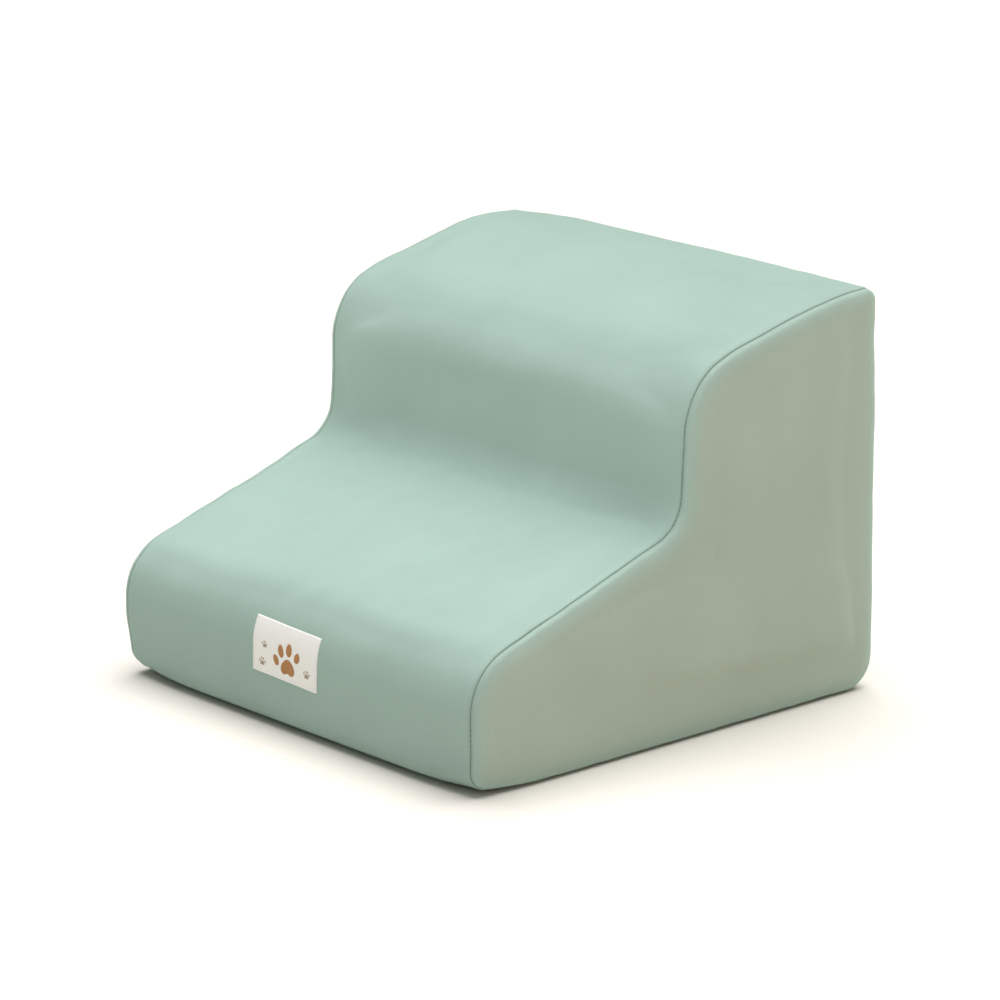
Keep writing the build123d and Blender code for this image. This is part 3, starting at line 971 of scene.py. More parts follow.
def side_ring(step, turn):
    """Distances round the rim of a side, and how many of them run upright and lengthwise."""
    line = Outline()
    foot, nose, back_top, heel = (line.mid_arc(i) for i in (FRONT_FOOT, NOSE, BACK_TOP, HEEL))
    riser_from, riser_to = line.starts[2 * RISER_FOOT + 1], line.starts[2 * RISER_TOP]
    rim = Outline(sizes().edge_radius)
    riser_y = rim.line_start[RISER_FOOT][0]
    below_from = line.on_line(HEEL, 0, riser_y + 22 * MM)
    below_to = line.on_line(HEEL, 0, riser_y + 62 * MM)
    tread = paced(nose, riser_from, step, turn)
    depth = rim.at(*line.stations(tread))[0][:, 0]
    below_tread = np.interp(depth, [depth[0], depth[-1]], [foot + line.total, below_from])
    over, under, rest = paired(
        (riser_from, riser_to, back_top), (below_from, below_to, heel), step, turn
    )
    front_up, back_down, upright = paired((foot, nose), (heel, back_top), step, turn)
    ring = [front_up[:-1], tread[:-1], over[:-1], back_down[:-1], under[:-1], below_tread[:0:-1]]
    return np.concatenate(ring), upright, rest + len(tread) - 1


def filled(edge, upright, lengthwise, rim, first):
    """Points that fill a rim of (depth, height) points, and the faces that join them to it.

    rim holds the rim's point numbers, and the new points are numbered from first."""
    front = edge[: upright + 1]
    top = edge[upright : upright + lengthwise + 1]
    back = edge[upright + lengthwise : 2 * upright + lengthwise + 1][::-1]
    bottom = np.vstack([edge[2 * upright + lengthwise :], edge[:1]])[::-1]
    v = np.linspace(0, 1, upright + 1)[:, None, None]
    u = np.linspace(0, 1, lengthwise + 1)[None, :, None]
    ruled = (1 - u) * front[:, None] + u * back[:, None] + (1 - v) * bottom[None] + v * top[None]
    tied = (1 - u) * (1 - v) * front[0] + u * (1 - v) * back[0]
    tied = tied + (1 - u) * v * front[-1] + u * v * back[-1]
    patch = ruled - tied
    inner = patch[1:-1, 1:-1].reshape(-1, 2)
    index = np.empty((upright + 1, lengthwise + 1), int)
    index[1:-1, 1:-1] = first + np.arange(len(inner)).reshape(upright - 1, lengthwise - 1)
    index[:, 0] = rim[: upright + 1]
    index[-1, :] = rim[upright : upright + lengthwise + 1]
    index[:, -1] = rim[upright + lengthwise : 2 * upright + lengthwise + 1][::-1]
    index[0, :] = np.append(rim[2 * upright + lengthwise :], rim[0])[::-1]
    faces = np.stack([index[:-1, :-1], index[:-1, 1:], index[1:, 1:], index[1:, :-1]], axis=-1)
    return inner, faces.reshape(-1, 4)


def ring_faces(rows, columns):
    """Quads of a grid whose last row meets its first."""
    index = np.arange(rows * columns).reshape(rows, columns)
    index = np.vstack([index, index[:1]])
    faces = np.stack([index[:-1, :-1], index[:-1, 1:], index[1:, 1:], index[1:, :-1]], axis=-1)
    return faces.reshape(-1, 4)


def side_panel(name, side):
    """A side panel: rings from the seam over the rounded edge, then a patch that fills the flat."""
    size = sizes()
    ring, upright, lengthwise = side_ring(size.grid, 6.0)
    count = len(ring)
    seam, flat_from = seam_across(), edge_across()
    reach = flat_from - seam
    offsets = np.concatenate([NEAR_SEAM, [reach]])
    offsets[0] = 0.0
    columns = side * (seam + size.seam_gap + offsets * (reach - size.seam_gap) / reach)
    points, normals = drawn(columns, ring)
    along = np.repeat(ring[:, None], len(columns), axis=1)
    distance = np.repeat(offsets[None, :], count, axis=0)

    edge = points[:, -1, 1:]
    rim = np.arange(count) * len(columns) + len(columns) - 1
    inner, patch_faces = filled(edge, upright, lengthwise, rim, count * len(columns))
    inner_points = np.column_stack([np.full(len(inner), side * HALF_WIDTH), inner])
    inner_normals = np.tile([side, 0.0, 0.0], (len(inner), 1))
    places = np.vstack([points.reshape(-1, 3), inner_points])
    outs = np.vstack([normals.reshape(-1, 3), inner_normals])
    patch_faces = outward(places, patch_faces, outs)
    faces = np.vstack([outward(places, ring_faces(count, len(columns)), outs), patch_faces])

    gap = np.array([np.hypot(*(edge - place).T).min() for place in inner])
    distance = np.concatenate([distance.ravel(), reach + gap])
    around = np.concatenate([along.ravel(), np.zeros(len(inner))])
    offset = seam_shape(distance, around, size.ridge)
    offset -= 0.35 * size.ridge * bell(distance - NEAR_SEAM[-1], 4.0 * MM)
    placed = settle(places, outs) + outs * offset[:, None]
    lean_out = np.repeat(edge[:, None], len(columns), axis=1)
    out_flat = normals[:, 0, 1:] / np.linalg.norm(normals[:, 0, 1:], axis=1)[:, None]
    lean_out = lean_out + out_flat[:, None] * (reach - offsets)[None, :, None]
    uv = np.vstack([lean_out.reshape(-1, 2), inner])
    # The seam mark carries the painted shade in the seam's groove; the rolled mark turns the rolled edge
    # mint, where the side cloth's painted warm side light gives way.
    marks = {"seam": bell(distance, SEAM_SHADE_MARK), "rolled": bell(distance, ROLLED_MARK)}
    obj = mesh_piece(name, placed, faces, uv=uv, marks=marks)
    thicken(obj, size.cloth)
    return obj


def enclosed(inset):
    """Area inside the outline drawn in by inset, and the length round it."""
    line = Outline(inset)
    shape, _ = line.at(*line.stations(np.linspace(0, line.total, 2001)))
    y, z = shape.T
    area = abs(np.sum(y[:-1] * z[1:] - y[1:] * z[:-1])) / 2
    return area, np.linalg.norm(np.diff(shape, axis=0), axis=1).sum()


def cut_side():
    """Area that a side panel is cut to: the flat, and the strip that rolls over the edge to the seam."""
    flat, round_flat = enclosed(sizes().edge_radius)
    _, round_all = enclosed(0.0)
    return flat + (edge_across() - seam_across()) * (round_flat + round_all) / 2


def cut_liner():
    """Area that the liner is cut to: both flats and the band that goes round between them."""
    flat, round_flat = enclosed(sizes().edge_radius)
    _, round_all = enclosed(0.0)
    turned = edge_across() - (HALF_WIDTH - sizes().edge_radius)
    middle = 2 * (HALF_WIDTH - sizes().edge_radius)
    return 2 * flat + middle * round_all + turned * (round_flat + round_all)


# ---------------------------------------------------------------------------
# Operators
# ---------------------------------------------------------------------------


class PETRAMP_OT_stage(Operator):
    """Pale floor, soft studio light and the camera"""

    bl_idname = "pet_ramp.stage"
    bl_label = "Stage"

    def execute(self, context):
        size = context.scene.pet_ramp_stage
        deselect()
        bpy.ops.mesh.primitive_plane_add(size=80, location=(0, 0, 0))
        floor = context.object
        floor.name = "floor"
        material, nodes, shader, where = start_material("pale_floor")
        patches = nodes.noise(where.outputs["Object"], 3.0)
        tint = nodes.mix(patches, (0.80, 0.772, 0.712), (0.815, 0.787, 0.727))
        finish = {"Base Color": tint, "Roughness": 0.9, "Specular IOR Level": 0.0}
        nodes.put_all(shader, finish)
        floor.data.materials.append(material)

        world = bpy.data.worlds.new("studio")
        world.use_nodes = True
        sky = next(n for n in world.node_tree.nodes if n.type == "BACKGROUND")
        sky.inputs["Color"].default_value = (1.0, 1.0, 1.0, 1.0)
        sky.inputs["Strength"].default_value = size.sky
        context.scene.world = world
        context.scene.view_settings.view_transform = "Standard"

        overhead = bpy.data.lights.new("overhead", "SUN")
        overhead.energy = size.key_light
        overhead.angle = math.radians(65)
        overhead.color = (1.0, 0.985, 1.0)
        lamp = bpy.data.objects.new("overhead", overhead)
        lamp.rotation_euler = (math.radians(-11), math.radians(-5), 0)
        context.scene.collection.objects.link(lamp)
        ramp = Vector((0, 0, 0.15))
        self.soft_box("side_fill", (3.2, -0.3, 1.2), ramp, 1.6, size.fill_light, (1.0, 0.85, 0.70))
        gridded = self.soft_box(
            "riser_fill", (0, -1.5, 0.62), Vector((0, 0, 0.18)), 0.8, size.riser_light, (0.95, 1.0, 1.0)
        )
        gridded.shape = "RECTANGLE"
        gridded.size_y = 0.12
        gridded.spread = math.radians(16)

        middle = Vector((0.0, (FRONT_Y + BACK_Y) / 2, 0.150))
        aim = Vector((0.0039, -0.0018, 0.1395))
        flat = math.cos(size.elevation)
        around = (flat * math.sin(size.azimuth), -flat * math.cos(size.azimuth))
        away = Vector((*around, math.sin(size.elevation)))
        camera = bpy.data.cameras.new("camera")
        camera.lens = size.focal_length
        camera.sensor_width = 36.0
        camera.clip_end = 200.0
        holder = bpy.data.objects.new("camera", camera)
        context.scene.collection.objects.link(holder)
        holder.location = middle + away * size.distance
        holder.rotation_euler = (aim - holder.location).to_track_quat("-Z", "Y").to_euler()
        context.scene.camera = holder
        return {"FINISHED"}

    @staticmethod
    def soft_box(name, place, target, width, power, tint):
        """A square soft light that points at the target."""
        light = bpy.data.lights.new(name, "AREA")
        light.shape = "SQUARE"
        light.size = width
        light.energy = power
        light.color = tint
        holder = bpy.data.objects.new(name, light)
        holder.location = place
        holder.rotation_euler = (target - Vector(place)).to_track_quat("-Z", "Y").to_euler()
        bpy.context.scene.collection.objects.link(holder)
        return light


class PETRAMP_OT_foam(Operator):
    """The foam blocks, softened at their edges"""

    bl_idname = "pet_ramp.foam"
    bl_label = "Foam"

    def execute(self, context):
        shades = colours()
        kinds = {
            "firm_foam": once("firm_foam", foam_material, tuple(shades.firm_foam), 420.0),
            "foam": once("main_foam", foam_material, tuple(shades.foam), 800.0),
            "soft_foam": once("topper_foam", foam_material, tuple(shades.soft_foam), 620.0),
        }
        slots = ("firm_foam", "foam", "foam", "soft_foam", "soft_foam")
        for node, slot in zip(FOAM_NODES, slots):
            block = copy_of_node(node, node + "_foam")
            remesh = block.modifiers.new("Even mesh", "REMESH")
            remesh.mode = "VOXEL"
            remesh.voxel_size = 5 * MM
            soften = block.modifiers.new("Soft edges", "SMOOTH")
            soften.factor = 0.5
            soften.iterations = 3
            apply_all(block)
            places = coordinates(block.data)
            settled = settle(places, np.zeros_like(places))
            block.data.vertices.foreach_set("co", settled.ravel())
            bpy.ops.object.shade_smooth()
            finish_piece(block, kinds[slot], slot, node)
        return {"FINISHED"}


class PETRAMP_OT_liner(Operator):
    """The thin inner liner, pushed in behind the zip"""

    bl_idname = "pet_ramp.liner"
    bl_label = "Liner"

    def execute(self, context):
        liner = closed_bag("inner_liner_bag", (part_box("cover_back")[1].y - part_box("inner_liner")[1].y))
        thicken(liner, 0.4 * MM)
        material = woven("liner_cloth", "liner", threads=1600.0, nap=0.1)
        finish_piece(liner, material, "liner_fabric", "inner_liner")
        cut_liner()
        return {"FINISHED"}


def closed_bag(name, inset):
    """A closed skin all round the foam, pushed in along the zip."""
    ring, upright, lengthwise = side_ring(1.6 * sizes().grid, 10.0)
    edge = HALF_WIDTH - sizes().edge_radius
    turn = np.linspace(0, sizes().edge_radius * math.pi / 2, 5)
    middle = np.linspace(-edge, edge, round(2 * edge / (6 * MM)) + 1)
    across = np.concatenate([-edge - turn[:0:-1], middle, edge + turn[1:]])
    points, normals = drawn(across, ring, inset)
    rows, columns = points.shape[:2]
    flat, out = points.reshape(-1, 3), normals.reshape(-1, 3)
    parts = [outward(flat, ring_faces(rows, columns), out)]
    uv = [np.stack(np.meshgrid(across, ring), axis=-1).reshape(-1, 2)]
    for side, column in ((1, columns - 1), (-1, 0)):
        rim = np.arange(rows) * columns + column
        inner, faces = filled(points[:, column, 1:], upright, lengthwise, rim, len(flat))
        here = np.column_stack([np.full(len(inner), side * (HALF_WIDTH - inset)), inner])
        flat = np.vstack([flat, here])
        out = np.vstack([out, np.tile([side, 0.0, 0.0], (len(inner), 1))])
        parts.append(outward(flat, faces, out))
        uv.append(inner)
    tape = (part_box("zip_tape_lower")[0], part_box("zip_tape_upper")[1])
    inward = np.abs(flat[:, 0]) - tape[1].x
    beside = np.maximum(tape[0].z - flat[:, 2], flat[:, 2] - tape[1].z)
    open_here = (1 - smooth(0, 3 * MM, inward)) * (1 - smooth(2 * MM, 6 * MM, beside))
    behind = smooth(BACK_Y - 8 * MM, BACK_Y - 4 * MM, flat[:, 1])
    placed = settle(flat, out)
    placed[:, 1] -= 3.1 * MM * open_here * behind
    return mesh_piece(name, placed, np.vstack(parts), uv=np.vstack(uv))


class PETRAMP_OT_cover(Operator):
    """The cover's tread, back, heel, base and side panels"""

    bl_idname = "pet_ramp.cover"
    bl_label = "Cover"

    def execute(self, context):
        at = meets()
        gap = sizes().seam_gap
        columns = columns_between()
        slot = 6.0 * MM
        mint = woven("mint_cloth", "cover", seams=True)
        # The side, back and heel panels' cloth carries painted warm side light: the mint made greyer and
        # warmer, turning back to mint over the rolled edge.
        grey = woven("side_cloth", "side", seams=True, edge=tuple(colours().cover))
        base = woven("base_cloth", "base", threads=900.0, nap=0.2)
        # name, seams at its start and end, ridge in millimetres, side of the zip, cloth, slot, node
        panels = (
            ("tread_panel", "front", "back_top", 0.25, 0, mint, "cover_fabric", "cover_tread_panel"),
            ("back_panel", "back_top", "zip", 0.25, -1, grey, "side_fabric", "cover_back"),
            ("heel_strip", "zip", "heel", 0.15, 1, grey, "side_fabric", "cover_heel_strip"),
            ("base_panel", "heel", "base_end", 0.0, 0, base, "base_fabric", "cover_base"),
        )
        for name, start, end, ridge, zip_side, cloth, finish, node in panels:
            rows = rows_between(at[start] + gap, at[end] - gap)
            shift = slot_shift(slot, zip_side) if zip_side else None
            piece = panel(name, rows, columns, ridge * MM, shift)
            finish_piece(piece, cloth, finish, node)
        sides = [side_panel("side_panel_right", 1), side_panel("side_panel_left", -1)]
        for each, node in zip(sides, ("cover_side_right", "cover_side_left")):
            finish_piece(each, grey, "side_fabric", node)
            cut_side()
        return {"FINISHED"}


class PETRAMP_OT_seams(Operator):
    """The stitches along every seam"""

    bl_idname = "pet_ramp.seams"
    bl_label = "Seams"

    def execute(self, context):
        at = meets()
        sunk = -(0.55 * sizes().seam_roll)
        thread = spun("sewing_thread", "thread")
        loop = paced(0.0, Outline().total, 3 * MM)[:-1]
        for side, name in ((1, "right"), (-1, "left")):
            line, out = laid(np.array([side * seam_across()]), loop, sunk)
            row = row_of_stitches(f"side_seam_{name}_stitches", line[:, 0], out[:, 0], closed=True)
            finish_piece(row, thread, "seam_thread", f"side_seam_{name}")
        columns = np.linspace(-seam_across() + MM, seam_across() - MM, 140)
        for place, node in (
            (at["back_top"], "back_top_seam"),
            (at["front"], "front_base_seam"),
            (at["heel"], "heel_base_seam"),
        ):
            line, out = laid(columns, np.array([place]), sunk)
            row = row_of_stitches(node + "_stitches", line[0], out[0])
            finish_piece(row, thread, "seam_thread", node)
        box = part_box("zip_topstitching")
        columns = np.linspace(box[0].x, box[1].x, 140)
        rows = []
        outline = Outline()
        for height in (box[0].z + 0.25 * MM, box[1].z - 0.25 * MM):
            place = outline.on_line(BACK_TOP, 1, height)
            line, out = laid(columns, np.array([place]), 0.08 * MM)
            rows.append(row_of_stitches("zip_topstitch_row", line[0], out[0]))
        activate(rows[0])
        rows[1].select_set(True)
        bpy.ops.object.join()
        both = bpy.context.object
        both.name = "zip_topstitches"
        finish_piece(both, thread, "seam_thread", "zip_topstitching")
        return {"FINISHED"}


def fan_of_rings(profile, around):
    """Points and faces of a closed turned form. profile is (radius, height) from pole to pole."""
    angle = np.arange(around) * 2 * math.pi / around
    points = [(0.0, 0.0, profile[0][1])]
    for radius, height in profile[1:-1]:
        points += [(radius * math.cos(a), radius * math.sin(a), height) for a in angle]
    points.append((0.0, 0.0, profile[-1][1]))
    faces = []
    rings = len(profile) - 2
    for k in range(around):
        after = (k + 1) % around
        faces.append((0, 1 + k, 1 + after))
        for ring in range(rings - 1):
            a, b = 1 + ring * around + k, 1 + ring * around + after
            faces.append((a, a + around, b + around, b))
        last = 1 + (rings - 1) * around
        faces.append((last + k, len(points) - 1, last + after))
    return np.array(points), faces


class PETRAMP_OT_label(Operator):
    """The sewn label with its paw, and the stitches round it"""

    bl_idname = "pet_ramp.label"
    bl_label = "Label"

    def execute(self, context):
        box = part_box("paw_label")
        centre = (box[0].x + box[1].x) / 2
        width = box[1].x - box[0].x
        tall = 39.5 * MM
        outline = Outline()
        bottom = outline.on_line(FRONT_FOOT, 1, box[0].z)
        thick = sizes().label_cloth
        columns = centre + np.linspace(-width / 2, width / 2, 61)
        rows = bottom + np.linspace(0, tall, 37)
        inward_x = width / 2 - np.abs(columns - centre)
        inward_y = np.minimum(rows - rows[0], rows[-1] - rows)
        inward = np.minimum(inward_x[None, :], inward_y[:, None])
        pinch = -0.12 * MM * bell(inward - 1.5 * MM, 0.8 * MM)
        ripple = 0.10 * MM * np.sin(columns[None, :] / (6 * MM)) * np.exp(-inward / (5 * MM))
        self.middle = (centre, bottom + tall / 2)
        uv = np.stack(np.meshgrid(columns, rows), axis=-1).reshape(-1, 2)
        placed, out = self.on_label(uv, (thick + 0.1 * MM + pinch + ripple).ravel())
        faces = outward(placed, grid_faces(len(rows), len(columns)), out)
        label = mesh_piece("paw_label_patch", placed, faces, uv=uv)
        thicken(label, thick)
        weave = {"threads": 2200.0, "nap": 0.15, "mottle": 0.2, "contrast": 0.06, "sheen": 0.1}
        cloth = woven("label_cloth", "label", **weave)
        finish_piece(label, cloth, "label_cloth", "paw_label")

        inset = 1.5 * MM
        xs = [centre - width / 2 + inset, centre + width / 2 - inset]
        ys = [bottom + inset, bottom + tall - inset]
        path = [(x, ys[0]) for x in np.linspace(*xs, 60)]
        path += [(xs[1], y) for y in np.linspace(*ys, 40)[1:]]
        path += [(x, ys[1]) for x in np.linspace(*xs, 60)[::-1][1:]]
        path += [(xs[0], y) for y in np.linspace(*ys, 40)[::-1][1:-1]]
        line, normal = self.on_label(np.array(path), thick + 0.12 * MM)
        row = row_of_stitches("label_stitches", line, normal, closed=True)
        finish_piece(row, spun("label_thread", "label_thread"), "label_thread", "label_stitching")

        raised = {"threads": 3200.0, "nap": 0.25, "uv": False}
        motif = woven("motif_thread", "motif", contrast=0.2, sheen=0.2, **raised)
        finish_piece(self.paw(bottom, thick + 0.1 * MM), motif, "label_thread")
        grey = woven("mark_thread", "marks", **raised)
        finish_piece(self.marks(bottom, thick + 0.1 * MM), grey, "label_thread")
        return {"FINISHED"}

    def on_label(self, pairs, lift):
        """Points and normals at (across, along) pairs, turned with the label and lifted off the cover."""
        lift = np.broadcast_to(lift, len(pairs))
        across, up = (pairs - self.middle).T
        turn = math.radians(sizes().label_turn)
        across, up = (
            across * math.cos(turn) + up * math.sin(turn),
            up * math.cos(turn) - across * math.sin(turn),
        )
        outline = Outline()
        place, out = outline.at(*outline.stations(self.middle[1] + up))
        points = np.column_stack([self.middle[0] + across, place])
        normals = np.column_stack([np.zeros(len(pairs)), out])
        return settle(points, normals) + normals * lift[:, None], normals

    def pads(self, name, shapes, bottom, top, height):
        """Low stitched pads.

        A shape is its middle across and up, half its width and height, all in millimetres, its
        tilt in degrees, and 1 for a three-lobed main pad or 0 for an oval toe."""
        points, faces = [], []
        profile = [(0, 1.0), (0.35, 0.97), (0.65, 0.85), (0.88, 0.55), (1.0, 0.0), (0.9, -0.6), (0, -0.6)]
        unit, unit_faces = fan_of_rings(profile, 28)
        count = 0
        for x, y, half_x, half_y, tilt, heart in shapes:
            a, b = unit[:, 0].copy(), unit[:, 1].copy()
            spread = 1 - heart * 0.28 * b
            dip = heart * 0.34 * np.exp(-((a / 0.33) ** 2)) * (b < -0.2) * np.abs(b)
            a, b = a * spread, b + dip
            c, s = math.cos(math.radians(tilt)), math.sin(math.radians(tilt))
            across = x + half_x * a * c - half_y * b * s
            up = y + half_x * a * s + half_y * b * c
            pairs = np.stack([across * MM, bottom + up * MM], axis=1)
            placed, _ = self.on_label(pairs, top + height * unit[:, 2])
            points.append(placed)
            faces += [tuple(v + count for v in face) for face in unit_faces]
            count += len(unit)
        return mesh_piece(name, np.vstack(points), faces)

    def paw(self, bottom, top):
        """A plain paw: one main pad and four toes."""
        shapes = (
            (-4.0, 10.0, 7.4, 6.4, 0.0, 1.0),
            (-17.0, 13.2, 2.9, 4.2, 28.0, 0.0),
            (-11.6, 21.0, 3.2, 4.8, 10.0, 0.0),
            (-2.6, 23.4, 3.2, 4.8, -8.0, 0.0),
            (6.2, 19.8, 2.9, 4.3, -26.0, 0.0),
        )
        return self.pads("paw_motif", shapes, bottom, top, 0.22 * MM)

    def marks(self, bottom, top):
        """Three tiny plain paws beside the large one."""
        shapes = []
        for x, y, size in ((-30.0, 20.5, 1.0), (-32.5, 7.0, 1.25), (17.5, 9.5, 1.25)):
            shapes.append((x, y, 1.9 * size, 1.6 * size, 0.0, 1.0))
            for toe, up in ((-2.3, 1.3), (-0.8, 2.7), (0.9, 2.7), (2.4, 1.2)):
                shapes.append((x + toe * size, y + up * size, 0.6 * size, 0.85 * size, -7 * toe, 0.0))
        return self.pads("label_small_paws", shapes, bottom, top, 0.1 * MM)


class PETRAMP_OT_grip(Operator):
    """The grip dots under the base"""

    bl_idname = "pet_ramp.grip"
    bl_label = "Grip dots"

    def execute(self, context):
        size = sizes()
        pitch = size.dot_pitch
        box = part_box("cover_base")
        clear = 9 * MM
        across = np.arange(-int((box[1].x - clear) / pitch), int((box[1].x - clear) / pitch) + 1) * pitch
        depth = np.arange(box[0].y + clear, box[1].y - clear, pitch * 0.866)
        pairs = []
        for k, y in enumerate(depth):
            for x in across + (k % 2) * pitch / 2:
                if abs(x) < box[1].x - clear:
                    pairs.append((x, y))
        pairs = np.array(pairs)
        places = np.column_stack([pairs, np.full(len(pairs), BASE_Z)])
        down = np.tile([0.0, 0.0, -1.0], (len(places), 1))
        settled = settle(places, down)
        high = size.dot_radius
        profile = [(0, 1.0), (0.55, 0.86), (0.88, 0.5), (1.0, -0.15), (0, -0.15)]
        unit_points, unit_faces = fan_of_rings(profile, 10)
        unit_points = unit_points * [high, high, BASE_Z]
        unit = mesh_piece("dot", unit_points, unit_faces)
        forward = np.tile([1.0, 0.0, 0.0], (len(places), 1))
        dots = repeated("grip_dot_field", unit, settled, forward, down)
        rubber = once("grip_rubber", hard_material, tuple(colours().dots), 0.55)
        finish_piece(dots, rubber, "grip_rubber", "grip_dots")
        return {"FINISHED"}


class PETRAMP_OT_zip(Operator):
    """The zip's tapes and its two coils"""

    bl_idname = "pet_ramp.zip"
    bl_label = "Zip tapes and coils"

    def execute(self, context):
        tape_cloth = woven("zip_tape_cloth", "tape", threads=1800.0, nap=0.1, sheen=0.1)
        wire = once("coil_nylon", hard_material, tuple(colours().coil), 0.38, 0.0, 0.15)
        for half, sign in (("upper", 1), ("lower", -1)):
            low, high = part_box("zip_tape_" + half)
            columns = np.linspace(low.x, high.x, 190)
            rows = np.linspace(low.z, high.z, 9)
            x, z = np.meshgrid(columns, rows)
            wave = 0.04 * MM * np.sin(x / (7 * MM))
            points = np.stack([x, np.full_like(x, high.y - 0.05 * MM) + wave, z], axis=-1).reshape(-1, 3)
            faces = grid_faces(len(rows), len(columns))
            out = np.tile([0.0, 1.0, 0.0], (len(points), 1))
            tape = mesh_piece(
                "zip_tape_" + half + "_web", points, outward(points, faces, out),
                uv=np.stack([x.ravel(), z.ravel()], axis=1),
            )
            thicken(tape, 0.45 * MM)
            finish_piece(tape, tape_cloth, "zip_tape", "zip_tape_" + half)
            self.coil(half, sign, wire)
        return {"FINISHED"}

    @staticmethod
    def coil(half, sign, wire):
        """One row of oval turns, which meet the other row's half a turn along."""
        size = sizes()
        low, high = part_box("zip_coil_" + half)
        deselect()
        thick = (high.y - low.y) / 2
        bpy.ops.mesh.primitive_torus_add(
            major_segments=10,
            minor_segments=5,
            major_radius=thick - size.coil_wire,
            minor_radius=size.coil_wire,
        )
        turn = bpy.context.object
        turn.rotation_euler = (0, math.pi / 2, 0)
        bpy.ops.object.transform_apply(location=False, rotation=True, scale=False)
        reach = 1.66 * MM
        for vertex in turn.data.vertices:
            stretch = reach - thick
            vertex.co.z += math.copysign(stretch, vertex.co.z) if abs(vertex.co.z) > 1e-5 else 0
            vertex.co.x += 0.12 * vertex.co.z
        count = int((high.x - low.x) / size.coil_pitch)
        middle = (np.arange(count) + 0.5 + 0.25 * sign) * (high.x - low.x) / count + low.x
        near = ZIP_Z + sign * 1.94 * MM
        places = np.column_stack([middle, np.full(count, low.y + thick), np.full(count, near)])
        forward = np.tile([1.0, 0.0, 0.0], (count, 1))
        up = np.tile([0.0, 0.0, 1.0], (count, 1))
        row = repeated("zip_coil_" + half + "_turns", turn, places, forward, up)
        finish_piece(row, wire, "zip_coil", "zip_coil_" + half)


# Hard pieces, modelled from a primitive in edit mode


def add_block(low, high):
    """A block from low to high, active and in edit mode."""
    deselect()
    low, high = Vector(low), Vector(high)
    bpy.ops.mesh.primitive_cube_add(size=1, location=(low + high) / 2)
    block = bpy.context.object
    block.scale = high - low
    bpy.ops.object.transform_apply(location=True, rotation=False, scale=True)
    bpy.ops.object.mode_set(mode="EDIT")
    return block


def pick(kind, test):
    """In edit mode, selects the points, edges or faces for which test is true."""
    obj = bpy.context.edit_object
    bpy.ops.mesh.select_all(action="DESELECT")
    bpy.ops.mesh.select_mode(type=kind)
    shape = bmesh.from_edit_mesh(obj.data)
    parts = {"VERT": shape.verts, "EDGE": shape.edges, "FACE": shape.faces}[kind]
    for each in parts:
        if test(each):
            each.select_set(True)
    shape.select_flush_mode()
    bmesh.update_edit_mesh(obj.data)


def runs(edge, axis):
    """True if the edge runs along that axis."""
    way = edge.verts[1].co - edge.verts[0].co
    return abs(way[axis]) > 0.98 * way.length


def middle_of(edge):
    """The middle of an edge."""
    return (edge.verts[0].co + edge.verts[1].co) / 2


def round_off(test, offset, segments):
    """In edit mode, bevels the edges for which test is true."""
    pick("EDGE", test)
    bpy.ops.mesh.bevel(offset=offset, segments=segments)


def open_window(test, rim):
    """In edit mode, opens a hole through a facing pair of faces, and leaves a rim round it."""
    pick("FACE", test)
    bpy.ops.mesh.inset(thickness=rim)
    bpy.ops.mesh.bridge_edge_loops()


def cut_across(*places):
    """In edit mode, cuts the whole block across its length at each place."""
    for where in places:
        bpy.ops.mesh.select_all(action="SELECT")
        bpy.ops.mesh.bisect(plane_co=(where, 0, 0), plane_no=(1, 0, 0))


def join_all(parts, name):
    """Joins parts into the first and names it."""
    activate(parts[0])
    for each in parts[1:]:
        each.select_set(True)
    bpy.ops.object.join()
    whole = bpy.context.object
    whole.name = name
    return whole


def soften_edges(obj, width):
    """Bevels the sharp edges a little and shades the rest smooth."""
    activate(obj)
    bevel = obj.modifiers.new("Broken edges", "BEVEL")
    bevel.width = width
    bevel.segments = 2
    bevel.limit_method = "ANGLE"
    bevel.angle_limit = math.radians(40)
    apply_all(obj)
    bpy.ops.object.shade_smooth_by_angle(angle=math.radians(35))


def metal():
    """Painted metal of the slider and its pull tab."""
    return once("painted_metal", hard_material, tuple(colours().metal), 0.36, 0.0, 0.4, 700.0)


class PETRAMP_OT_stops(Operator):
    """The stops at the ends of the zip"""

    bl_idname = "pet_ramp.stops"
    bl_label = "Zip stops"

    def execute(self, context):
        for end in ("top", "bottom"):
            low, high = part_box(f"zip_{end}_stop")
            stop = add_block(low, high)
            pick("FACE", lambda face: face.normal.y > 0.9)
            bpy.ops.mesh.inset(thickness=0.5 * MM)
            bpy.ops.transform.translate(value=(0, -0.35 * MM, 0))
            rim = high.y - 0.5 * MM
            round_off(lambda edge: runs(edge, 1) and middle_of(edge).y < rim, 0.7 * MM, 3)
            soften_edges(stop, 0.12 * MM)
            stop.name = f"zip_{end}_stop_clamp"
            finish_piece(stop, metal(), "zip_metal", f"zip_{end}_stop")
        return {"FINISHED"}


